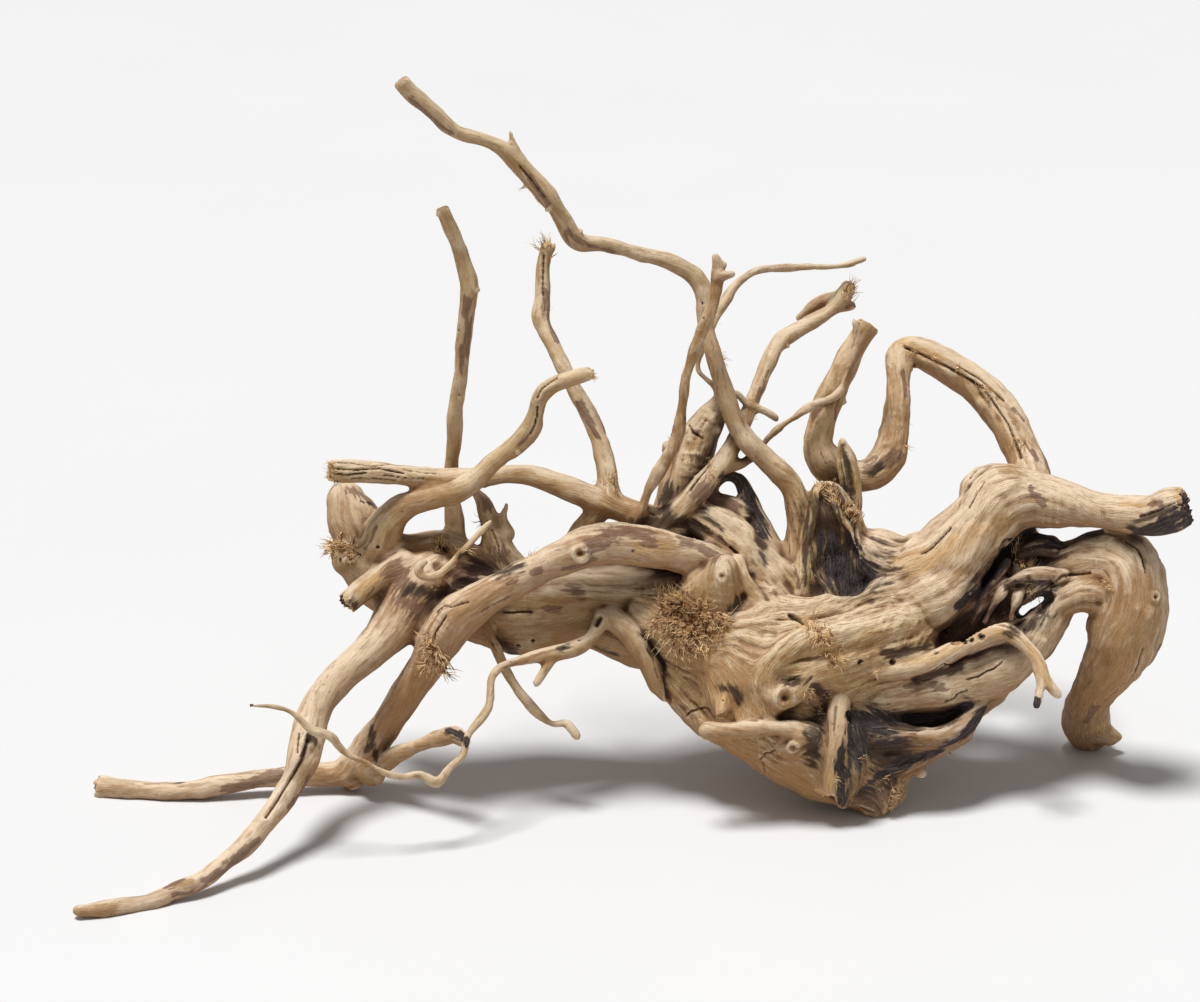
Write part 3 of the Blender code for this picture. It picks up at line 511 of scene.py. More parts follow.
# On the right the wood forks at a broad shoulder: a charred arm above, and a fat hook below that
# turns down to the ground. Strands of the lower limb close round the rotten cavity between them.
SHOULDER_TONE = seen(224, 197, 162)
grow(SHOULDER_TONE, {
    "shoulder": [
        (875, 558, 25, 33), (905, 575, 20, 42), (940, 564, 15, 40), (974, 530, 12, 36), (1004, 498, 12, 36),
    ],
    "shoulder_lobe": [(984, 502, 22, 26), (988, 489, 24, 27), (1015, 490, 20, 26)],
    "shoulder_web": [(900, 610, 5, 34), (930, 598, 0, 34), (950, 580, 8, 34)],
    "right_arm": [
        (1004, 500, 12, 36), (1040, 500, 6, 28), (1080, 507, -6, 21), (1120, 513, -20, 19.5),
        (1150, 516, -32, 21), (1172, 510, -42, 23), (1186, 506, -48, 20),
    ],
    "hook": [
        (1030, 590, 30, 18), (1058, 568, 24, 22), (1092, 559, 16, 28), (1123, 565, 8, 38), (1132, 598, 6, 37),
        (1126, 632, 14, 37), (1113, 662, 38, 29), (1100, 682, 68, 25), (1089, 702, 102, 23), (1086, 718, 132, 25),
        (1087, 728, 149, 25),
    ],
    "hook_toe": [(1092, 730, 134, 16), (1110, 736, 136, 11), (1118, 737, 136, 5)],
    "hook_strand": [(1020, 618, 20, 20), (1050, 604, 12, 20), (1078, 592, 8, 20), (1110, 592, 8, 24)],
    "lower_limb": [
        (860, 690, 0, 30), (905, 688, -5, 27), (950, 681, 0, 29), (992, 668, 8, 29), (1022, 648, 12, 27),
        (1044, 622, 15, 24), (1058, 602, 15, 18),
    ],
    "lower_limb_top": [(840, 660, -14, 30), (890, 660, -20, 16), (930, 672, -18, 14), (965, 668, -12, 14)],
    "strand": [
        (860, 668, -38, 13), (895, 669, -36, 11), (935, 659, -32, 10), (970, 643, -28, 9.5),
        (1000, 630, -26, 9.5), (1022, 642, -30, 8.5), (1038, 662, -36, 8), (1046, 680, -40, 6.5),
        (1058, 695, -42, 4),
    ],
    "strand_twig": [(1036, 662, -36, 6.5), (1040, 684, -44, 4.5), (1036, 709, -50, 3)],
    "cavity_wall": [
        (930, 640, 40, 26), (975, 612, 44, 25), (1005, 578, 44, 24), (1030, 552, 38, 20), (1050, 546, 30, 12),
    ],
    "cavity_splinter": [(985, 636, 22, 10), (1005, 600, 20, 9), (1012, 570, 22, 11)],
}, gnarl=0.3, combed=0.6, torn={"strand_twig", "right_arm"})
SHARD_TONE = seen(150, 112, 84)
grow(SHARD_TONE, {
    "rolled_shard": [(1006, 582, 4, 5), (1001, 593, -6, 5.5), (993, 606, -10, 4.5), (985, 622, -12, 3.5)],
    "grey_shard": [(1020, 584, 4, 4), (1017, 596, -6, 5), (1013, 608, -8, 4), (1011, 618, -6, 4)],
    "cross_strand": [
        (1000, 592, 6, 5), (1010, 584, -6, 4.5), (1024, 576, -12, 5), (1042, 573, -10, 6), (1062, 576, 0, 8),
    ],
    "wall_rib": [(948, 630, 8, 6), (964, 616, 4, 6), (980, 602, 2, 6), (994, 584, 4, 6), (1006, 562, 6, 6)],
    "deep_rib": [(972, 622, 4, 5), (984, 608, 2, 5), (996, 596, 4, 5)],
    "roof_rib": [(1024, 548, 14, 5), (1040, 542, 14, 5), (1060, 545, 14, 6), (1080, 549, 16, 7)],
    "roof_rib_low": [(1020, 556, 10, 4.5), (1036, 551, 8, 5), (1052, 552, 8, 6)],
}, gnarl=1.0, combed=1.0, inside=True)
mark("bark", 6, (962, 606), (978, 594), (992, 576))
mark("char", 12, (1186, 502), (1190, 510), (1188, 522))
crack(1.3, 5, (958, 506), (963, 492), (975, 477), (990, 466))
crack(1.2, 4, (969, 507), (975, 495), (984, 482))
mark("fresh", 11, (912, 572), (944, 553), (974, 534), (1000, 522))
mark("bark", 3.5, (1030, 490), (1038, 496), (1044, 506))
wrinkles(9, 16, 2.6, 2.2, (1040, 506), (1086, 509))
wrinkles(6, 12, 2.4, 1.6, (900, 620), (930, 590))
wrinkles(6, 10, 2.2, 1.4, (1076, 600), (1104, 600))
bore(2.6, (1010, 540))
mark("rot", 15, (975, 590), (1000, 568), (1022, 552), (1046, 548))
mark("char", 7, (1026, 530), (1042, 536), (1060, 545))
mark("char", 5, (958, 606), (984, 586), (1006, 560))
mark("rot", 10, (944, 632), (970, 618), (996, 610))
mark("char", 13, (1022, 612), (1032, 602), (1044, 596))
mark("char", 6, (1046, 606), (1050, 598))
# Painted shade: darker tan down the hook's lower side and over its outer right side.
mark("tan", 34, (1124, 620), (1116, 650), (1104, 680), (1092, 710))
mark("tan", 18, (1142, 586), (1146, 620), (1134, 656))
mark("fresh", 8, (1100, 728), (1112, 736), (1118, 738))
mark("rot", 8, (1014, 628), (1034, 624), (1044, 612))
mark("rot", 6, (1008, 586), (1028, 580), (1050, 580))
mark("char", 8, (1140, 533), (1160, 527), (1176, 518), (1192, 510))
mark("char", 10, (1150, 536), (1170, 530), (1186, 520))
mark("rot", 5, (1130, 526), (1150, 517), (1172, 507))
mark("bark", 2.5, (1148, 504), (1161, 503))
crack(1.6, 3, (1140, 517), (1160, 510), (1180, 500))
mark("bark", 3.5, (1045, 562), (1057, 556))
crack(1.8, 4, (1022, 606), (1040, 592), (1062, 576), (1090, 573))
mark("tan", 9, (1088, 577), (1108, 583), (1118, 598))
mark("tan", 7, (1084, 612), (1098, 618))
knot(5, 2.5, (1155, 597))
mark("bark", 4, (1096, 706), (1091, 716), (1086, 722))
crack(1.3, 2, (1101, 706), (1112, 694), (1124, 683))
bore(3.4, (893, 662), (982, 637))
bore(2.4, (860, 662), (936, 652), (953, 645), (965, 642), (972, 640), (1012, 626), (1024, 630))
mark("fresh", 6, (910, 664), (930, 658), (960, 644), (992, 631), (1014, 636))
mark("fresh", 5, (1030, 646), (1040, 664), (1048, 680))
mark("rot", 4, (884, 652), (900, 655), (930, 645))
mark("rot", 5, (916, 680), (940, 672), (960, 668))
mark("char", 3, (1037, 700), (1036, 710))
mark("bark", 5, (908, 686), (928, 684), (945, 688))
crack(1.3, 4, (932, 670), (944, 664), (952, 665), (963, 659))
crack(1.2, 4, (968, 679), (978, 677), (988, 671), (994, 669), (1002, 662))
crack(1.5, 4, (946, 702), (954, 699), (958, 694), (967, 691))
ridge(4, 3, (1030, 486))
ridge(3, 2.5, (1160, 560))

# Under the crown the wood is rotten and charred: strands, a pale plank, and stubs in front of it.
ROTTEN_TONE = seen(122, 96, 78)
CHARRED_TONE = seen(60, 51, 50)
UNDER_TONE = seen(196, 164, 124)
grow(ROTTEN_TONE, {
    "under_wall": [(850, 716, 30, 26), (905, 716, 26, 26), (955, 706, 24, 22), (990, 688, 20, 20)],
    "charred_strand": [
        (845, 737, -20, 18), (895, 736, -24, 14), (935, 738, -20, 12), (962, 727, -12, 12), (980, 705, -4, 9),
    ],
    "charred_floor": [(850, 768, -6, 28), (900, 757, -5, 20), (940, 744, 2, 13), (965, 734, 6, 11)],
}, gnarl=1.2)
grow(CHARRED_TONE, {
    "black_strip": [(852, 722, -36, 11), (856, 752, -40, 11), (850, 782, -34, 12), (842, 800, -26, 9)],
})
grow(UNDER_TONE, {
    "plank": [(838, 700, -36, 12), (838, 735, -46, 12), (832, 768, -44, 11), (828, 792, -38, 10)],
    "heel_twig": [(900, 766, 0, 8), (915, 770, -4, 6), (922, 773, -6, 5)],
    "front_stub": [
        (808, 735, -44, 16), (785, 728, -55, 9), (745, 729, -60, 9), (716, 731, -62, 9.5), (707, 731, -62, 9.5),
    ],
    "front_knob": [(790, 745, -42, 16), (800, 738, -52, 13), (813, 737, -56, 9)],
    "flat_peg": [(730, 680, -34, 12), (724, 704, -46, 9), (722, 716, -50, 8)],
}, gnarl=0.6, torn={"plank", "flat_peg"})
mark("char", 9, (864, 718), (890, 718), (920, 718), (950, 714), (968, 704))
mark("char", 13, (856, 722), (860, 740), (862, 756))
mark("rot", 22, (868, 726), (884, 736), (894, 750), (880, 762))
mark("char", 10, (866, 724), (880, 732), (892, 734))
mark("rot", 12, (900, 724), (926, 726), (948, 722))
mark("tan", 5, (900, 733), (926, 739), (950, 732), (970, 712))
mark("char", 6, (868, 786), (884, 772), (902, 763), (935, 751), (962, 739), (984, 712))
mark("char", 7, (843, 752), (840, 770), (843, 790), (843, 802))
mark("char", 4, (850, 714), (850, 744), (848, 774))
mark("rot", 12, (862, 790), (880, 786), (892, 776))
mark("rot", 5, (818, 716), (821, 728), (814, 752), (812, 764))
mark("bark", 13, (862, 796), (880, 800), (898, 788))
mark("fresh", 5, (723, 692), (722, 706))
mark("fresh", 4, (833, 772), (830, 790))
bore(1.2, (723, 700), (832, 724))

# Before the trunk lie a sawn nub, a strap of bark, a bent leg, and fine roots that wander off left.
NUB_TONE = seen(196, 166, 120)
FINE_TONE = seen(188, 154, 110)
grow(NUB_TONE, {
    "nub": [(716, 606, -18, 24), (720, 584, -32, 20), (723, 568, -38, 17)],
    "nub_cheek": [(690, 604, -2, 24), (704, 586, -18, 20)],
    "strap": [(738, 560, -16, 6), (746, 580, -24, 7), (758, 602, -26, 7)],
}, gnarl=0.2, melt=0.5)
grow(FINE_TONE, {
    "leg_front": [
        (612, 618, -10, 13), (630, 632, -14, 14), (645, 655, -14, 12), (657, 680, -8, 12), (666, 694, 0, 10),
    ],
    "thin_root": [
        (602, 618, -14, 9), (590, 640, -22, 8), (572, 650, -28, 9), (548, 655, -36, 8), (522, 660, -44, 5),
        (500, 668, -54, 4.5), (491, 680, -62, 4.5), (489, 705, -70, 4.5), (478, 722, -76, 4.5),
        (468, 736, -84, 4.5), (463, 755, -87, 4), (450, 768, -90, 4), (437, 783, -93, 4.5),
        (420, 774, -98, 4), (405, 777, -103, 4), (384, 773, -110, 4), (366, 763, -114, 4),
        (346, 754, -119, 4), (330, 736, -125, 4), (310, 729, -130, 4.5),
        (292, 712, -134, 4.5),(270, 706, -138, 3.8), (249, 706, -140, 3),
    ],
    "thin_root_stub": [(552, 658, -36, 6), (544, 672, -40, 5), (536, 684, -44, 3.5)],
    "fine_root": [
        (478, 606, -8, 6), (490, 632, -10, 6.5), (502, 662, -12, 6.5), (518, 690, -14, 5), (537, 712, -18, 5),
        (552, 724, -20, 4.5), (566, 723, -20, 4), (577, 736, -20, 4),
    ],
    "knee_stub": [
        (372, 775, 36, 12), (392, 758, 10, 9.5), (415, 747, -14, 8), (440, 738, -36, 8), (454, 735, -48, 8.5),
        (464, 741, -56, 7),
    ],
    "knee_knot": [(368, 775, 30, 12), (376, 777, 22, 10)],
}, gnarl=0.5)
wrinkles(5, 12, 2.2, 1.8, (722, 584), (720, 606))
mark("rot", 6, (738, 600), (730, 612))
mark("rot", 7, (644, 634), (656, 654), (664, 676))
mark("char", 5, (448, 732), (459, 734), (467, 743))
mark("tan", 5, (746, 578), (757, 598))
crack(2.5, 6, (644, 636), (654, 650), (663, 664), (667, 684), (669, 706))
mark("rot", 4, (560, 648), (568, 645))
bore(2, (564, 647), (579, 640))
knot(5.5, 1.6, (722, 576))
mark("rot", 5, (596, 648), (614, 654))

# The arch leaves the shoulder, turns over behind it, dips low behind the stump and ends sawn off.
ARCH_TONE = seen(214, 182, 138)
grow(ARCH_TONE, {
    "arch": [
        (1008, 520, 42, 28), (1030, 490, 66, 22), (1026, 460, 90, 19), (1005, 420, 112, 19), (979, 388, 126, 19),
        (950, 367, 134, 18), (922, 353, 134, 17), (902, 352, 130, 15), (899, 375, 120, 13.5), (898, 402, 108, 14),
        (895, 430, 96, 15), (889, 456, 86, 18), (872, 474, 78, 18), (850, 476, 72, 17), (829, 465, 68, 20),
        (818, 445, 64, 17), (822, 422, 62, 14.5), (831, 395, 60, 14), (842, 370, 58, 13), (856, 344, 56, 12.5),
        (869, 324, 54, 13),
    ],
}, gnarl=0.45, sawn={"arch"})
mark("tan", 20, (899, 382), (897, 410), (892, 446))
mark("tan", 14, (1006, 440), (1012, 470))
mark("bark", 8, (870, 470), (886, 462), (896, 454))
mark("bark", 3, (903, 372), (906, 396))
mark("rot", 5, (872, 474), (880, 466))
wrinkles(5, 9, 2.0, 1.6, (896, 404), (894, 430))
mark("tan", 3, (904, 384), (907, 406))
mark("tan", 9, (872, 324), (864, 346))
mark("fresh", 7, (898, 340), (916, 350), (938, 358))
crack(1.8, 4, (905, 347), (945, 366), (984, 388), (1008, 424), (1021, 458))
crack(1.6, 3, (958, 366), (980, 378), (1004, 400))
knot(5, 2, (913, 365))
ridge(4, 4, (886, 445))
ridge(4, 4, (925, 375))
ridge(3.5, 4, (843, 402))

# All the limbs are one piece of wood, so their tubes are melted into one skin, and the hollows
# where the wood rotted or burnt away are cut out of it.
FUSE_VOXEL = 0.0016
SKIN_VOXEL = 0.00105
CUTTER_VOXEL = 0.002
CUTTER_ROUGHNESS = 0.0025
CUTTER_FINENESS = 90
HOLLOWS = {
    "stump_hollow": [
        (826, 488, 4, 7), (826, 508, -2, 8), (829, 524, -6, 17), (832, 545, -10, 23), (838, 565, -12, 25),
        (848, 582, -14, 20),
    ],
    "hub_hollow": [(440, 566, -22, 8), (452, 574, -20, 11), (468, 582, -14, 9)],
    "shoulder_hollow": [
        (1008, 546, -4, 10), (1016, 572, -4, 15), (1014, 598, -8, 15), (990, 622, -18, 11), (955, 640, -30, 8),
    ],
    "slit_bowl": [(1018, 612, -6, 9), (1032, 604, -4, 12), (1046, 597, -2, 9)],
    "under_hollow": [(846, 716, -44, 8), (880, 719, -36, 8), (925, 720, -26, 8), (960, 708, -20, 6)],
}
SLIT = [
    [(across, down, -30, wide), (across + 4, down - 3, 10, wide), (across + 8, down - 6, 60, wide + 1)]
    for across, down, wide in (
        (1015, 617, 4.5), (1018, 615, 5.5), (1022, 612.5, 5.5), (1026, 610, 5.2), (1030, 607.5, 4.9),
        (1034, 605, 4.6), (1038, 602.5, 4.3),
    )
]


def tube(limb):
    """A limb as a curve with a round section, in sight coordinates."""
    curve = bpy.data.curves.new(limb.name, "CURVE")
    curve.dimensions = "3D"
    curve.bevel_depth = 1
    curve.bevel_resolution = 4
    curve.use_fill_caps = True
    spline = curve.splines.new("POLY")
    spline.points.add(len(limb.outline) - 1)
    for point, sample in zip(spline.points, limb.outline):
        point.co = (*(sample.xyz + SIGHT_ORIGIN), 1)
        point.radius = sample.w
    piece = bpy.data.objects.new(limb.name, curve)
    bpy.context.scene.collection.objects.link(piece)
    return piece


def as_drawn(piece):
    """The piece's mesh, as its modifiers and its curve settings leave it."""
    bpy.context.view_layer.update()
    return bpy.data.meshes.new_from_object(piece.evaluated_get(bpy.context.evaluated_depsgraph_get()))


def join(pieces, name):
    """One mesh object of all the pieces, which are used up."""
    joined = bmesh.new()
    for piece in pieces:
        mesh = as_drawn(piece)
        joined.from_mesh(mesh)
        bpy.data.meshes.remove(mesh)
        bpy.data.objects.remove(piece)
    bmesh.ops.remove_doubles(joined, verts=joined.verts, dist=0.00001)
    mesh = bpy.data.meshes.new(name)
    joined.to_mesh(mesh)
    joined.free()
    whole = bpy.data.objects.new(name, mesh)
    bpy.context.scene.collection.objects.link(whole)
    return whole


def shape(piece, kind, **settings):
    """Change the piece's mesh with one modifier."""
    modifier = piece.modifiers.new(kind.lower(), kind)
    for setting, value in settings.items():
        setattr(modifier, setting, value)
    shaped = as_drawn(piece)
    piece.modifiers.clear()
    piece.data = shaped


def keep_largest(piece):
    """Drop every shell of the piece but its largest, so that no crumb or bubble is left inside."""
    whole = bmesh.new()
    whole.from_mesh(piece.data)
    left = set(whole.verts)
    shells = []
    while left:
        shell = [left.pop()]
        for vertex in shell:
            for edge in vertex.link_edges:
                other = edge.other_vert(vertex)
                if other in left:
                    left.remove(other)
                    shell.append(other)
        shells.append(shell)
    crumbs = sorted(shells, key=len)[:-1]
    bmesh.ops.delete(whole, geom=list(itertools.chain(*crumbs)), context="VERTS")
    whole.to_mesh(piece.data)
    whole.free()


skin = join([tube(limb) for limb in limbs if not limb.inside], "root_wood")
shape(skin, "REMESH", mode="VOXEL", voxel_size=FUSE_VOXEL)
for paths in [*([stations] for stations in HOLLOWS.values()), SLIT]:
    cutter = join([tube(Limb("cutter", stations, CROWN_TONE)) for stations in paths], "cutter")
    shape(cutter, "REMESH", mode="VOXEL", voxel_size=CUTTER_VOXEL)
    for vertex in cutter.data.vertices:
        unevenness = noise.noise((vertex.co - SIGHT_ORIGIN) * CUTTER_FINENESS)
        vertex.co += vertex.normal * CUTTER_ROUGHNESS * unevenness
    shape(skin, "BOOLEAN", operation="DIFFERENCE", solver="MANIFOLD", object=cutter)
    bpy.data.objects.remove(cutter)
skin = join([skin, *[tube(limb) for limb in limbs if limb.inside]], "root_wood")
shape(skin, "REMESH", mode="VOXEL", voxel_size=SKIN_VOXEL)
keep_largest(skin)

# The skin is worn smooth where limbs meet, most of all over the crown, and then carved with flutes
# and fine grooves. They follow the grain, which runs along each limb, sways, and flows from one limb
# into the next. The depths and widths are in metres.
SMOOTH_ROUNDS = 8
SMOOTH_BACK = 1.03
MELT_ROUNDS = 110
GROOVE_SWING = 2.2
FLUTE_DEPTH = 0.0005
GROOVE_DEPTH = 0.00035
LUMP_WIDTH = 0.013
LUMP_DEPTH = 0.0009
NUB_WIDTH = 0.0055
NUB_DEPTH = 0.00035
PATCH_WIDTH = 0.03
SWAY_WIDTH = 0.022
SWAY_ANGLE = 0.35
STRIDE = 0.0022
LATTICE = np.random.default_rng(11).uniform(-1, 1, (64, 64, 64))


def numbers(items, field, width, kind=np.float32):
    """One field of all the items of a mesh, as rows of numbers."""
    values = np.empty(len(items) * width, kind)
    items.foreach_get(field, values)
    return values.reshape(-1, width)


def ripple(x, y, z):
    """Soft noise between -1 and 1, with one lump to a unit."""
    corners = []
    for value in (x, y, z):
        cell = np.floor(value)
        part = value - cell
        part = part * part * (3 - 2 * part)
        cell = cell.astype(np.int32)
        corners.append(((cell & 63, 1 - part), ((cell + 1) & 63, part)))
    total = 0
    for (i, a), (j, b), (k, c) in itertools.product(*corners):
        total = total + LATTICE[i, j, k] * (a * b * c)
    return total


def owners_of(points):
    """The two limbs that each point lies nearest to, in their own radii, and how near."""
    owners = np.zeros((len(points), 2), np.int32)
    ratios = np.full((len(points), 2), 9.0)
    for number, limb in enumerate(limbs):
        margin = 1.9 * limb.radii.max()
        inside = (points > limb.places.min(0) - margin).all(1) & (points < limb.places.max(0) + margin).all(1)
        ids = np.flatnonzero(inside)
        _, ratio = limb.nearest(points[ids].astype(np.float32))
        first = ratio < ratios[ids, 0]
        ahead = ids[first]
        owners[ahead, 1] = owners[ahead, 0]
        ratios[ahead, 1] = ratios[ahead, 0]
        owners[ahead, 0] = number
        ratios[ahead, 0] = ratio[first]
        second = ~first & (ratio < ratios[ids, 1])
        behind = ids[second]
        owners[behind, 1] = number
        ratios[behind, 1] = ratio[second]
    return owners, ratios


def share_of_first(ratios):
    """How much of each point belongs to the first of its two limbs, the rest being the second's."""
    return 1 / (1 + np.exp(np.clip(14 * (ratios[:, 0] - ratios[:, 1]), -30, 30)))


def of_neighbours(values, edges, signs=1.0):
    """For each point, the sum of its neighbours' values."""
    sums = np.empty_like(values)
    for axis in range(values.shape[1]):
        sums[:, axis] = np.bincount(edges[:, 0], signs * values[edges[:, 1], axis], len(values))
        sums[:, axis] += np.bincount(edges[:, 1], signs * values[edges[:, 0], axis], len(values))
    return sums


def softened(values, edges, rounds, back=0.0, pull=0.6):
    """The values drawn to the middle of their neighbours, and back again by this much of the way."""
    moved = values.reshape(len(values), -1).astype(float)
    count = np.bincount(edges.ravel(), minlength=len(values))[:, None]
    for _ in range(rounds):
        moved += pull * (of_neighbours(moved, edges) / count - moved)
        if back:
            moved -= back * pull * (of_neighbours(moved, edges) / count - moved)
    return moved.reshape(values.shape)


def flow_of(points, normals, edges):
    """The direction of the grain at each point: its two limbs' headings, evened out along the skin."""
    flow = np.zeros((len(points), 3))
    for rank, part in ((0, share), (1, 1 - share)):
        for number, limb in enumerate(limbs):
            ids = np.flatnonzero(owners[:, rank] == number)
            heading = limb.forward[limb.nearest(points[ids])[0]]
            sign = np.where((heading * flow[ids]).sum(1) < 0, -1, 1)
            flow[ids] += (sign * part[ids])[:, None] * heading
    for _ in range(14):
        agree = np.where((flow[edges[:, 0]] * flow[edges[:, 1]]).sum(1) < 0, -1, 1)
        flow += of_neighbours(flow, edges, agree)
        flow /= np.linalg.norm(flow, axis=1)[:, None] + 1e-9
    flow -= normals * (flow * normals).sum(1)[:, None]
    flow /= np.linalg.norm(flow, axis=1)[:, None] + 1e-9
    sway = (SWAY_ANGLE * ripple(*(points / SWAY_WIDTH).T))[:, None]
    return flow * np.cos(sway) + np.cross(normals, flow) * np.sin(sway)


def drawn_out(values, steps):
    """The values averaged over this many strides each way along the grain, brought back to full swing."""
    total = values.copy()
    for way in (1, -1):
        spot = np.arange(len(values))
        heading = np.full(len(values), way)
        for _ in range(steps):
            onto = np.where(heading > 0, onward[0][spot], onward[1][spot])
            heading = np.where((flow[spot] * flow[onto]).sum(1) < 0, -heading, heading)
            spot = onto
            total += values[spot]
    return (total - total.mean()) / total.std()


def settle(mesh, points):
    """Move the mesh's vertices to the points, and return its new normals."""
    mesh.vertices.foreach_set("co", points.astype(np.float32).ravel())
    mesh.update()
    return numbers(mesh.vertices, "normal", 3)


mesh = skin.data
edges = numbers(mesh.edges, "vertices", 2, np.int32)
points = softened(numbers(mesh.vertices, "co", 3), edges, SMOOTH_ROUNDS, back=SMOOTH_BACK)
owners, ratios = owners_of(points)
share = share_of_first(ratios)
tones = np.array([limb.tone for limb in limbs])[owners]
tone = softened(tones[:, 0] * share[:, None] + tones[:, 1] * (1 - share[:, None]), edges, 10)
melt = softened(np.array([limb.melt for limb in limbs])[owners[:, 0]], edges, 12)
combed = softened(np.array([limb.combed for limb in limbs])[owners[:, 0]], edges, 20)
points += (softened(points, edges, MELT_ROUNDS) - points) * melt[:, None]
normals = settle(mesh, points)
flow = flow_of(points, normals, edges)
spots = KDTree(len(points))
for number, spot in enumerate(points.tolist()):
    spots.insert(spot, number)
spots.balance()
onward = [
    np.array([spots.find(spot)[1] for spot in (points + way * flow).tolist()])
    for way in (STRIDE, -STRIDE)
]
seeds = np.random.default_rng(3)
grooves = GROOVE_SWING * softened(drawn_out(softened(seeds.normal(size=len(points)), edges, 1), 8), edges, 3)
flutes = softened(drawn_out(softened(seeds.normal(size=len(points)), edges, 8), 12), edges, 3)
gnarls = np.array([limb.gnarl * math.sqrt(min(limb.girth, 0.03) / 0.01) for limb in limbs])
gnarled = softened(gnarls[owners[:, 0]], edges, 6)
gnarled *= np.clip(0.9 + 1.5 * ripple(*(points / PATCH_WIDTH).T), 0.3, 1.8)
height = gnarled * (FLUTE_DEPTH * flutes - GROOVE_DEPTH * np.clip(grooves, -0.3, 3))
height += LUMP_DEPTH * ripple(*(points / LUMP_WIDTH).T) + NUB_DEPTH * ripple(*(points / NUB_WIDTH).T)

# The scars: each crack, bore, fold, knot and stain is found by looking along the viewer's line to
# the skin. Smaller ones, which twigs, beetles and stones left, are scattered over every limb.
HEADING = Vector((0, math.cos(SIGHT_ANGLE), -math.sin(SIGHT_ANGLE)))
EYE = SIGHT_ORIGIN + Vector((0, 0, SIGHT_HEIGHT)) - HEADING * SIGHT_DISTANCE
STAINS = ("tan", "fresh", "bark", "rot", "char", "cut")
SCAR_COUNT = 420
SPLIT_WIDTH = 0.0011
SPLIT_DEPTH = 0.0018
SPLIT_STAIN = 0.0005
RIDGE_RISE = 0.4  # of its width
DENT_RISE = -0.35
BACK_STAIN = 1.4  # the back has no listed marks, so its scattered stains are wider
FRONT_STAIN = 0.7
corners = numbers(mesh.loops, "vertex_index", 1, np.int32).reshape(-1, 4)
skin_tree = BVHTree.FromPolygons(points.tolist(), corners.tolist())
points_of_skin = points


def sighted(path, spacing=1.5):
    """The places on the skin under a path on the sight grid, as the viewer sees them."""
    places = []
    for start, stop in zip(path, path[1:] or path):
        steps = max(1, math.ceil(math.dist(start, stop) / spacing))
        for step in range(steps + 1):
            across = start[0] + (stop[0] - start[0]) * step / steps
            down = start[1] + (stop[1] - start[1]) * step / steps
            found = skin_tree.ray_cast(EYE, place(across, down, 0) + SIGHT_ORIGIN - EYE)
            if found[0]:
                places.append(found[0])
    return np.array(places).reshape(-1, 3)


def around(places, reach):
    """The skin's points within reach of any of the places, and how far they are from the nearest."""
    if not len(places):
        return np.zeros(0, int), np.zeros(0)
    inside = (points > places.min(0) - reach).all(1) & (points < places.max(0) + reach).all(1)
    ids = np.flatnonzero(inside)
    gaps = np.full(len(ids), 9.0)
    for spot in places:
        gaps = np.minimum(gaps, ((points[ids] - spot) ** 2).sum(1))
    near = gaps < reach ** 2
    return ids[near], np.sqrt(gaps[near])


def along_grain(start, strides):
    """Places on the skin from one point onward along its grain."""
    places = [start]
    heading = 1
    for _ in range(strides):
        onto = onward[0][places[-1]] if heading > 0 else onward[1][places[-1]]
        heading *= -1 if flow[places[-1]] @ flow[onto] < 0 else 1
        places.append(onto)
    run = points[places]
    return np.concatenate([run, (run[1:] + run[:-1]) / 2])


scars = [(kind, width, rise, sighted(path)) for kind, width, rise, path in carvings]
stained = [(stain, width, sighted(path)) for stain, width, path in marks]
for start in seeds.integers(0, len(points), SCAR_COUNT):
    girth = limbs[owners[start, 0]].girth
    size = girth * seeds.uniform(0.1, 0.26)
    kind = seeds.choice(["ridge", "ridge", "dent", "dent", "crack", "bark", "bark", "tan", "tan", "fresh"])
    if kind == "crack":
        split = along_grain(start, seeds.integers(3, 12))
        scars.append((kind, SPLIT_WIDTH, -SPLIT_DEPTH, split))
        stained.append(("rot", SPLIT_STAIN, split))
    elif kind in STAINS:
        wide = BACK_STAIN if normals[start, 1] > 0.1 else FRONT_STAIN
        stained.append((kind, wide * size, along_grain(start, seeds.integers(2, 9))))
    else:
        rise = RIDGE_RISE if kind == "ridge" else DENT_RISE
        scars.append(("ridge", size, rise * size, along_grain(start, seeds.integers(0, 3))))

for kind, width, rise, places in scars:
    ids, gaps = around(places, 2.4 * width)
    near = gaps / width
    if kind == "crack":
        height[ids] += rise * np.clip(1 - 0.8 * near, 0, 1)
    elif kind == "ridge":
        height[ids] += rise * np.exp(-1.4 * near ** 2)
    else:
        uneven = 1 + 0.8 * ripple(*(points[ids] / (1.3 * width)).T)
        ring = np.exp(-((near - 0.8) / 0.5) ** 2)
        eye = np.exp(-(near / 0.35) ** 2)
        height[ids] += rise * uneven * (ring - 0.8 * eye)
fields = {stain: np.zeros(len(points)) for stain in STAINS}
for stain, width, places in stained:
    ids, gaps = around(places, 2 * width)
    fields[stain][ids] = np.maximum(fields[stain][ids], 1 - gaps / (2 * width))

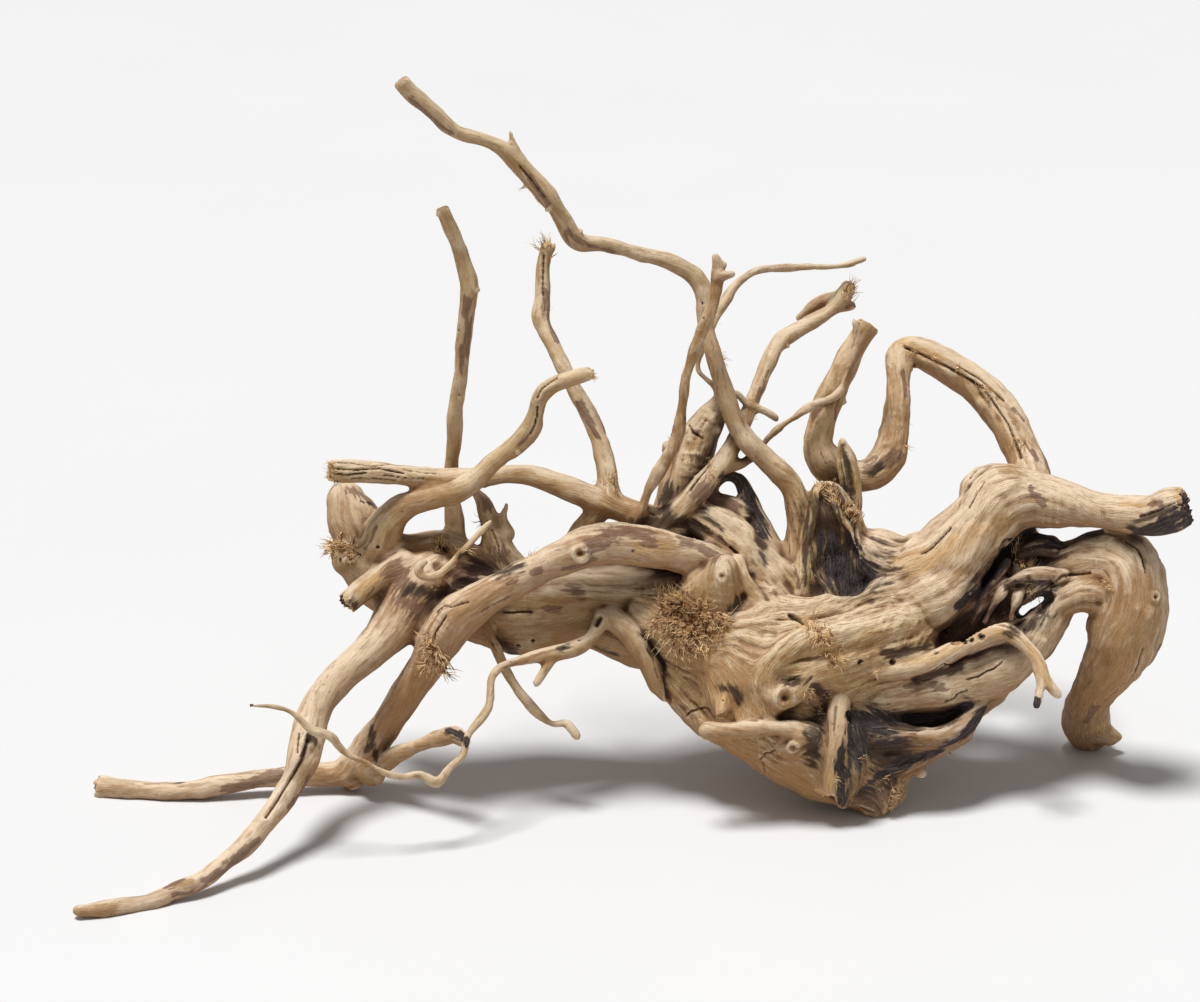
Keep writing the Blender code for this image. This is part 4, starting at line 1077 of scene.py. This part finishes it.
# A torn tip ends in splinters along its grain. A sawn one is flat and shows end grain. Each point then
# learns how deep it lies in a crease or a hollow, and the skin is thinned to the triangles it may have.
SPLINTER_WIDTH = 0.0016
SPLINTER_LENGTH = 0.7  # of the tip's radius
SPLINTER_LIMIT = 0.0035
CREASE_DEPTH = 0.0006
HOLLOW_DEPTH = 0.0025
SKIN_TRIANGLES = 580000
shift = normals * height[:, None]
for limb in limbs:
    if limb.end == "round":
        continue
    heading, radius = limb.forward[-1], limb.radii[-1]
    ids, _ = around(limb.places[-1:], 1.5 * radius)
    offset = points[ids] - limb.places[-1]
    ahead = offset @ heading
    past = np.clip(1 + ahead / (0.45 * radius), 0, 1)
    if limb.end == "torn":
        splinters = ripple(*((offset - ahead[:, None] * heading) / SPLINTER_WIDTH).T)
        shift[ids] += heading * (SPLINTER_LENGTH * min(radius, SPLINTER_LIMIT) * splinters * past)[:, None]
    stain = "cut" if limb.end == "sawn" else "fresh"
    fields[stain][ids] = np.maximum(fields[stain][ids], past)
points = points + shift
points[:, 2] = np.maximum(points[:, 2], 0)
normals = settle(mesh, points)
# How deep each point lies in a crease or a hollow, or how far it stands out on a ridge, for the painted shade in
# creases and hollows and the painted highlight on ridges.
near_mean = softened(points, edges, 5)
wide_mean = softened(near_mean, edges, 36)
fields["painted_crease_shading"] = np.clip(((near_mean - points) * normals).sum(1) / CREASE_DEPTH, -1, 1)
fields["hollow"] = np.clip(((wide_mean - points) * normals).sum(1) / HOLLOW_DEPTH, -1, 1)
fields["streak"] = np.clip(0.5 * grooves + 0.35 * flutes, -2, 2)
fields["combed"] = combed
for name, field in fields.items():
    mesh.attributes.new(name, "FLOAT", "POINT").data.foreach_set("value", field.astype(np.float32))
shape(skin, "DECIMATE", ratio=SKIN_TRIANGLES / (2 * len(mesh.polygons)), use_collapse_triangulate=True)

# The skin is shown in three lengths that meet edge to edge: the left, the middle and the right. Each
# carries its stains, its tone, the heading of its grain, how far it faces up, for painted light on its
# tops and painted shade under it, and how far other wood closes it in, for painted shade there.
SHELTER_RAYS = 14
SHELTER_REACH = 0.055
SHELTER_START = 0.002
SHELTER_STEP = 7  # one point in so many is tested, and the others take the nearest one's answer
mesh = skin.data
points = numbers(mesh.vertices, "co", 3)
normals = numbers(mesh.vertices, "normal", 3)
corners = numbers(mesh.loops, "vertex_index", 1, np.int32).reshape(-1, 3)
edges = numbers(mesh.edges, "vertices", 2, np.int32)
for name in fields:
    fields[name] = numbers(mesh.attributes[name].data, "value", 1)[:, 0]


def closest_of(places, wanted):
    """For each wanted point, the number of the place that is nearest to it."""
    near = KDTree(len(places))
    for number, spot in enumerate(places.tolist()):
        near.insert(spot, number)
    near.balance()
    return np.array([near.find(spot)[1] for spot in wanted.tolist()])


def shelter_of(points, normals):
    """How far other wood closes in each point, from 0 in the open to 1."""
    rays = seeds.normal(size=(SHELTER_RAYS, 3))
    rays /= np.linalg.norm(rays, axis=1)[:, None]
    closed = np.zeros(len(points))
    for number, (spot, normal) in enumerate(zip(points + SHELTER_START * normals, normals)):
        start = Vector(spot)
        for ray in (0.98 * rays + normal).tolist():
            distance = skin_tree.ray_cast(start, ray, SHELTER_REACH)[3]
            if distance is not None:
                closed[number] += (1 - 0.7 * distance / SHELTER_REACH) / SHELTER_RAYS
    return closed


source = np.array([spots.find(spot)[1] for spot in points.tolist()])
tone = tone[source]
grain = flow[source][corners]
grain *= np.where((grain * grain[:, :1]).sum(2) < 0, -1, 1)[:, :, None]
# Rays from each tested point find how far other wood closes it in, for the painted shade there.
tested = np.arange(0, len(points), SHELTER_STEP)
painted_occlusion_shade = shelter_of(points[tested], normals[tested])
fields["painted_occlusion_shade"] = softened(painted_occlusion_shade[closest_of(points[tested], points)], edges, 10)
# How far each point faces up: the material paints light on the tops and shade on the undersides with it.
fields["painted_facing_light"] = softened(normals[:, 2], edges, 8)


def length_of(name, faces):
    """The part of the skin that these faces make, as a piece of its own."""
    ids, back = np.unique(corners[faces], return_inverse=True)
    length = bpy.data.meshes.new(name)
    length.vertices.add(len(ids))
    length.vertices.foreach_set("co", points[ids].astype(np.float32).ravel())
    length.loops.add(back.size)
    length.loops.foreach_set("vertex_index", back.astype(np.int32).ravel())
    length.polygons.add(len(faces))
    length.polygons.foreach_set("loop_start", np.arange(0, back.size, 3, dtype=np.int32))
    length.update(calc_edges=True)
    for field, values in fields.items():
        carried = length.attributes.new(field, "FLOAT", "POINT")
        carried.data.foreach_set("value", values[ids].astype(np.float32))
    tinted = length.attributes.new("tone", "FLOAT_VECTOR", "POINT")
    tinted.data.foreach_set("vector", tone[ids].astype(np.float32).ravel())
    headed = length.attributes.new("grain", "FLOAT_VECTOR", "CORNER")
    headed.data.foreach_set("vector", grain[faces].astype(np.float32).ravel())
    length.shade_smooth()
    length.normals_split_custom_set_from_vertices(normals[ids].tolist())
    piece = bpy.data.objects.new(name, length)
    bpy.context.scene.collection.objects.link(piece)
    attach(piece, "root")
    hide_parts("spiderwood_root")
    return piece


order = np.argsort(points[corners].mean(1)[:, 0])
bpy.data.objects.remove(skin)
lengths = []
for name, faces in zip(("left_wood", "middle_wood", "right_wood"), np.array_split(order, 3)):
    lengths.append(length_of(name, np.sort(faces)))

# The wood is bare and dry: pale tan with brown streaks along the grain, leftover bark in thin
# purple-brown flakes, orange where it is freshly torn, dark brown where it rotted, black where it burnt.
BARK_TONE = seen(122, 92, 78)
TAN_TONE = seen(164, 125, 80)
FRESH_TONE = seen(212, 172, 118)
# Rot brown, which also serves as the deepest painted shade.
ROT_AND_SHADE_TONE = seen(64, 46, 36)
CHAR_TONE = seen(38, 33, 34)
CUT_TONE = seen(192, 162, 122)
# Pale, brown and umber are also used for painted light and shade below, and sienna only for painted shade under
# the wood.
PALE_WOOD_AND_HIGHLIGHT_TONE = seen(240, 221, 192)
BROWN_GRAIN_AND_SHADE_TONE = seen(146, 103, 60)
PAINTED_UNDERSIDE_SHADE_TONE = seen(130, 89, 48)
UMBER_STAIN_AND_SHADE_TONE = seen(86, 57, 36)
ASH_TONE = seen(104, 90, 84)
EARTH_TONE = seen(34, 25, 21)
GRAIN_BUMP = 0.0005


def node(tree, kind, inputs, output=0, **settings):
    """Add a shader node with its settings, its inputs being values or other nodes' outputs."""
    made = tree.nodes.new("ShaderNode" + kind)
    for setting, value in settings.items():
        setattr(made, setting, value)
    for socket, value in inputs.items():
        if isinstance(value, bpy.types.NodeSocket):
            tree.links.new(value, made.inputs[socket])
        else:
            made.inputs[socket].default_value = value
    return made.outputs[output]


def sum_of(tree, operation, first, second=0.0):
    """A sum on two values."""
    return node(tree, "Math", {0: first, 1: second}, operation=operation)


def between(tree, value, low, high, start=0.0, stop=1.0):
    """The value, drawn from its range to another one with soft ends."""
    return node(
        tree, "MapRange", {0: value, 1: low, 2: high, 3: start, 4: stop}, interpolation_type="SMOOTHSTEP",
    )


def layer(tree, amount, under, over, blend="MIX"):
    """One colour over another by this amount."""
    for_colour = {"data_type": "RGBA", "blend_type": blend, "clamp_factor": True}
    colours = [value if isinstance(value, bpy.types.NodeSocket) else (*value, 1) for value in (under, over)]
    return node(tree, "Mix", {0: amount, 6: colours[0], 7: colours[1]}, 2, **for_colour)


def attribute(tree, name, output="Fac"):
    """A value that the mesh carries."""
    return node(tree, "Attribute", {}, output, attribute_name=name)


def grained(tree, fineness, reach, steps):
    """Noise between 0 and 1 with this many grains to a metre, smeared this far each way along the grain."""
    total = 0.0
    for step in range(-steps, steps + 1):
        shift = reach * step / steps
        shifted = {0: attribute(tree, "grain", "Vector"), 1: (shift, shift, shift), 2: where}
        spot = node(tree, "VectorMath", shifted, operation="MULTIPLY_ADD")
        value = node(tree, "TexNoise", {"Vector": spot, "Scale": fineness, "Detail": 0.0})
        total = sum_of(tree, "ADD", value, total)
    gain = math.sqrt(1 + 2 * reach * fineness)
    mean = sum_of(tree, "DIVIDE", total, 2 * steps + 1.0)
    return sum_of(tree, "ADD", sum_of(tree, "MULTIPLY", mean, gain), 0.5 - 0.5 * gain)


wood = bpy.data.materials.new("root_wood")
wood.use_nodes = True
tree = wood.node_tree
where = node(tree, "TexCoord", {}, "Object")
fine = grained(tree, 1300, 0.0022, 6)
flecks = grained(tree, 640, 0.003, 4)
broad = grained(tree, 330, 0.006, 4)
pores = node(tree, "TexNoise", {"Vector": where, "Scale": 900.0, "Detail": 2.0})
blotch = node(tree, "TexNoise", {"Vector": where, "Scale": 45.0, "Detail": 5.0, "Roughness": 0.6})
cloud = node(tree, "TexNoise", {"Vector": where, "Scale": 13.0, "Detail": 3.0})
painted_crease_shading = attribute(tree, "painted_crease_shading")
hollow = attribute(tree, "hollow")
streak = attribute(tree, "streak")
painted_occlusion_shade = attribute(tree, "painted_occlusion_shade")
painted_facing_light = attribute(tree, "painted_facing_light")

colour = layer(tree, between(tree, cloud, 0.42, 0.7, 0, 0.4), attribute(tree, "tone", "Color"), TAN_TONE)
colour = layer(tree, between(tree, blotch, 0.48, 0.7, 0, 0.5), colour, PALE_WOOD_AND_HIGHLIGHT_TONE)
# Painted light and shade: paler where the skin faces up, darker sienna where it faces down.
colour = layer(tree, between(tree, painted_facing_light, 0.2, 0.9, 0, 0.6), colour, PALE_WOOD_AND_HIGHLIGHT_TONE)
colour = layer(tree, between(tree, painted_facing_light, -0.8, 0.5, 0.75, 0), colour, PAINTED_UNDERSIDE_SHADE_TONE)
colour = layer(tree, between(tree, broad, 0.5, 0.8, 0, 0.5), colour, BROWN_GRAIN_AND_SHADE_TONE)
colour = layer(tree, between(tree, streak, 0.1, 1.4, 0, 0.35), colour, BROWN_GRAIN_AND_SHADE_TONE)
lines = sum_of(tree, "ADD", sum_of(tree, "MULTIPLY", attribute(tree, "combed"), 0.5), 0.15)
dark_lines = sum_of(tree, "MULTIPLY", between(tree, fine, 0.2, 0.58, 1, 0), lines)
pale_lines = sum_of(tree, "MULTIPLY", between(tree, fine, 0.6, 0.85), lines)
colour = layer(tree, dark_lines, colour, BROWN_GRAIN_AND_SHADE_TONE)
colour = layer(tree, pale_lines, colour, PALE_WOOD_AND_HIGHLIGHT_TONE)
# Painted highlight on ridges, then painted shade: brown and umber in hollows, umber in creases.
colour = layer(tree, between(tree, painted_crease_shading, -0.8, -0.1, 0.5, 0), colour, PALE_WOOD_AND_HIGHLIGHT_TONE)
colour = layer(tree, between(tree, hollow, -0.3, 0.5, 0, 0.6), colour, BROWN_GRAIN_AND_SHADE_TONE)
colour = layer(tree, between(tree, hollow, 0.05, 0.8, 0, 0.85), colour, UMBER_STAIN_AND_SHADE_TONE)
colour = layer(tree, between(tree, painted_crease_shading, 0.0, 0.7, 0, 0.75), colour, UMBER_STAIN_AND_SHADE_TONE)
# Painted shade where other wood closes the skin in: umber, then rot brown.
colour = layer(tree, between(tree, painted_occlusion_shade, 0.2, 0.6, 0, 0.75), colour, UMBER_STAIN_AND_SHADE_TONE)
colour = layer(tree, between(tree, painted_occlusion_shade, 0.45, 0.8, 0, 0.85), colour, ROT_AND_SHADE_TONE)
ragged = sum_of(tree, "ADD", sum_of(tree, "MULTIPLY", broad, 0.5), sum_of(tree, "MULTIPLY", flecks, 0.5))
ragged = sum_of(tree, "ADD", ragged, sum_of(tree, "MULTIPLY", streak, 0.08))
flakes = sum_of(tree, "MULTIPLY", between(tree, flecks, 0.66, 0.78), between(tree, cloud, 0.45, 0.6))
colour = layer(tree, sum_of(tree, "MULTIPLY", flakes, 0.5), colour, BARK_TONE)
specks = sum_of(tree, "MULTIPLY", between(tree, pores, 0.66, 0.74), between(tree, blotch, 0.4, 0.55))
colour = layer(tree, sum_of(tree, "MULTIPLY", specks, 0.6), colour, UMBER_STAIN_AND_SHADE_TONE)
for stain, paint, veins, low, high, most in (
    ("cut", CUT_TONE, BROWN_GRAIN_AND_SHADE_TONE, 0.4, 0.6, 0.8),
    ("tan", TAN_TONE, BROWN_GRAIN_AND_SHADE_TONE, 0.25, 0.9, 0.7),
    ("fresh", FRESH_TONE, TAN_TONE, 0.3, 0.8, 0.65),
    ("bark", BARK_TONE, UMBER_STAIN_AND_SHADE_TONE, 0.36, 0.64, 0.75),
    ("rot", ROT_AND_SHADE_TONE, EARTH_TONE, 0.25, 0.85, 0.9),
    ("char", CHAR_TONE, ASH_TONE, 0.35, 0.7, 0.97),
):
    stained = attribute(tree, stain)
    uneven = sum_of(tree, "MULTIPLY", sum_of(tree, "SUBTRACT", ragged, 0.5), 1.4)
    reach = sum_of(tree, "MULTIPLY", sum_of(tree, "ADD", stained, uneven), between(tree, stained, 0, 0.15))
    streaked = layer(tree, between(tree, fine, 0.25, 0.65, 0.6, 0), paint, veins)
    colour = layer(tree, between(tree, reach, low, high, 0, most), colour, streaked)
relieved = sum_of(tree, "ADD", sum_of(tree, "MULTIPLY", fine, 0.7), sum_of(tree, "MULTIPLY", broad, 0.9))
relieved = sum_of(tree, "ADD", relieved, sum_of(tree, "MULTIPLY", pores, 0.5))
bumped = node(tree, "Bump", {"Strength": 1.0, "Distance": GRAIN_BUMP, "Height": relieved})
paint = tree.nodes["Principled BSDF"]
tree.links.new(colour, paint.inputs["Base Color"])
tree.links.new(between(tree, fine, 0.3, 0.7, 0.85, 0.68), paint.inputs["Roughness"])
tree.links.new(bumped, paint.inputs["Normal"])
paint.inputs["Specular IOR Level"].default_value = 0.25
for length in lengths:
    length.data.materials.append(wood)

# Where roots were ripped off, and where bugs and water opened the wood, it ends in loose dry fibres.
# The biggest tuft stands golden on the crown. Each tuft springs from a path that the viewer sees.
fibre_wood = bpy.data.materials.new("torn_fibres")
fibre_wood.use_nodes = True
tree = fibre_wood.node_tree
where = node(tree, "TexCoord", {}, "Object")
speck = node(tree, "TexNoise", {"Vector": where, "Scale": 260.0, "Detail": 3.0})
colour = layer(tree, between(tree, speck, 0.38, 0.6), seen(132, 82, 38), seen(250, 218, 166))
tree.links.new(colour, tree.nodes["Principled BSDF"].inputs["Base Color"])
tree.nodes["Principled BSDF"].inputs["Roughness"].default_value = 0.75
FIBRE_STEPS = 6
FIBRE_BUNCH = 9
FIBRE_CURL = 0.15
FIBRE_SPREAD = 0.0011
FIBRE_PARTING = 0.45
FIBRE_WAVER = 0.16
FIBRE_FOOT = 0.001  # how deep in the wood a fibre starts
FLOOR_ROOM = 0.0004  # how far above the floor it stays


def fibres(name, count, length, thick, roots, stand=0.8, lean=(0, 0, 0), spread=4, flare=0.0):
    """A tuft from these places on the wood: its count, length, thickness, how upright, its lean,
    and how far it opens out from its middle."""
    curve = bpy.data.curves.new(name, "CURVE")
    curve.dimensions = "3D"
    curve.bevel_depth = 1
    curve.bevel_resolution = 0
    middle = Vector(np.mean(roots, axis=0))
    for number in range(count):
        if number % FIBRE_BUNCH == 0:
            bunch = Vector(roots[seeds.integers(len(roots))]) + Vector(seeds.normal(size=3)) * spread * UNIT
            parting = FIBRE_PARTING * Vector(seeds.normal(size=3))
        near = bunch + Vector(seeds.normal(size=3)) * FIBRE_SPREAD
        spot, normal, _, _ = skin_tree.find_nearest(near)
        outward = flare * (spot - middle).normalized() + parting + FIBRE_WAVER * Vector(seeds.normal(size=3))
        heading = (normal * stand + Vector(lean) + outward).normalized()
        stride = length * UNIT * seeds.uniform(0.35, 1.15) / FIBRE_STEPS
        spot = spot - normal * FIBRE_FOOT
        spline = curve.splines.new("POLY")
        spline.points.add(FIBRE_STEPS)
        for step, point in enumerate(spline.points):
            point.co = (spot.x, spot.y, max(spot.z, FLOOR_ROOM), 1)
            point.radius = thick * UNIT * (1 - 0.8 * step / FIBRE_STEPS)
            heading = (heading + FIBRE_CURL * Vector(seeds.normal(size=3))).normalized()
            spot = spot + heading * stride
    tuft = bpy.data.objects.new(name, curve)
    bpy.context.scene.collection.objects.link(tuft)
    curve.materials.append(fibre_wood)
    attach(tuft, "root")


def tuft(name, count, length, thick, path, **settings):
    """A tuft along a path on the sight grid."""
    fibres(name, count, length, thick, sighted(path), **settings)


LEFT, RIGHT, UP, DOWN = (-1, 0, 0), (1, 0, 0), (0, 0, 1), (0, 0, -0.7)
tuft("crown_tuft", 380, 22, 0.75, [(668, 602), (680, 606), (692, 612)], lean=(-0.5, 0, 0.6), spread=5)
tuft("crown_tuft_right", 320, 21, 0.75, [(700, 614), (710, 624), (716, 634)], lean=(0.7, 0, 0.1), spread=5)
tuft("crown_tuft_low", 340, 22, 0.75, [(672, 616), (684, 626), (700, 636)], lean=(-0.4, 0, -0.6), spread=5)
tuft("crown_down", 500, 12, 0.65, [(676, 612), (692, 620), (706, 630)], stand=0.7, spread=10, flare=0.4)
tuft("tuft_fringe", 90, 30, 0.55, [(664, 618), (680, 636), (702, 640)], lean=DOWN, spread=6)
tuft("crown_scrub", 260, 12, 0.7, [(806, 622), (820, 634), (830, 648), (836, 664)], stand=0.5, spread=5)
tuft("burl_scrub", 130, 9, 0.55, [(806, 690), (820, 698), (828, 712)], stand=0.4, spread=4)
tuft("club_tuft", 200, 17, 0.75, [(330, 540), (340, 546), (352, 552)], stand=0.6, lean=(-0.5, 0, -0.1), spread=4)
tuft("arch_shreds", 190, 24, 0.65, [(428, 640), (436, 655), (442, 672)], stand=0.5, lean=DOWN, spread=5)
tuft("stump_rim", 260, 12, 0.75, [(814, 494), (826, 490), (838, 500), (850, 512), (858, 518)], lean=UP, spread=3)
tuft("shelf_tip", 60, 12, 0.5, [(333, 464), (333, 478)], stand=0.2, lean=LEFT, spread=4)
tuft("upright_tip", 60, 16, 0.5, [(546, 243), (549, 248)], stand=0.3, lean=(-0.4, 0, 0.8), spread=4)
tuft("fork_tip", 80, 14, 0.5, [(846, 288), (850, 294)], stand=0.3, lean=(0.2, 0, 0.9), spread=4)
tuft("serpentine_tip", 40, 9, 0.45, [(588, 372), (592, 375)], stand=0.3, lean=RIGHT, spread=4)
arch_top = [(902, 344), (930, 352), (984, 384), (1012, 420), (1026, 452)]
tuft("arch_fray", 120, 15, 0.4, arch_top, stand=0.5, spread=4)
tuft("cavity_shards", 70, 24, 0.5, [(1014, 556), (1022, 562), (1030, 570)], stand=0.6, lean=UP, spread=3)
tuft("slit_threads", 40, 20, 0.5, [(1022, 586), (1027, 582), (1032, 590)], stand=0.4, lean=DOWN, spread=3)
tuft("arm_fringe", 60, 7, 0.5, [(1036, 531), (1056, 534), (1066, 534)], stand=0.6, lean=DOWN, spread=3)
tuft("hub_shards", 110, 12, 0.45, [(434, 538), (446, 550), (462, 552), (474, 545)], stand=0.7, lean=UP, spread=4)
tuft("heel_shreds", 120, 10, 0.45, [(884, 776), (900, 786), (890, 806)], stand=0.6, spread=5)
tuft("stem_foot", 60, 11, 0.45, [(608, 478), (614, 490)], stand=0.6, lean=UP, spread=3)
tuft("hook_fray", 70, 9, 0.4, [(1092, 578), (1110, 588), (1118, 600)], stand=0.4, spread=4)
tuft("fork_foot", 90, 10, 0.4, [(698, 462), (710, 474), (716, 484)], stand=0.5, lean=UP, spread=4)
strays = points_of_skin[seeds.integers(0, len(points_of_skin), 90)]
fibres("strays", 360, 11, 0.35, strays, stand=0.5, spread=2)

# The picture: a pale flat floor under the root, soft daylight from above, and a camera that looks down
# at the root as the photograph's did.
floor_mesh = bpy.data.meshes.new("floor")
plane = bmesh.new()
bmesh.ops.create_grid(plane, x_segments=1, y_segments=1, size=4)
plane.to_mesh(floor_mesh)
plane.free()
floor = bpy.data.objects.new("floor", floor_mesh)
floor.location = (0, 0, -0.0002)
bpy.context.scene.collection.objects.link(floor)
floor_paint = bpy.data.materials.new("floor")
floor_paint.use_nodes = True
tree = floor_paint.node_tree
haze = node(tree, "TexNoise", {"Vector": node(tree, "TexCoord", {}, "Object"), "Scale": 3.0, "Detail": 2.0})
colour = layer(tree, haze, (0.77, 0.77, 0.77), (0.80, 0.80, 0.80))
tree.links.new(colour, tree.nodes["Principled BSDF"].inputs["Base Color"])
floor_mesh.materials.append(floor_paint)

world = bpy.data.worlds.new("daylight")
world.use_nodes = True
world.node_tree.nodes["Background"].inputs["Color"].default_value = (1, 1, 1, 1)
world.node_tree.nodes["Background"].inputs["Strength"].default_value = 0.24
bpy.context.scene.world = world

sunlight = bpy.data.lights.new("sunlight", "SUN")
sunlight.energy = 3.3
sunlight.angle = math.radians(18)
sun = bpy.data.objects.new("sun", sunlight)
sun.rotation_euler = Vector((0.2, 0.08, -1)).to_track_quat("-Z", "Y").to_euler()
bpy.context.scene.collection.objects.link(sun)

camera = bpy.data.objects.new("camera", bpy.data.cameras.new("camera"))
camera.data.sensor_width = 36
camera.data.lens = 36 * SIGHT_DISTANCE / (1200 * UNIT)
camera.location = EYE
camera.rotation_euler = HEADING.to_track_quat("-Z", "Y").to_euler()
bpy.context.scene.collection.objects.link(camera)
bpy.context.scene.camera = camera
bpy.context.scene.view_settings.view_transform = "Standard"
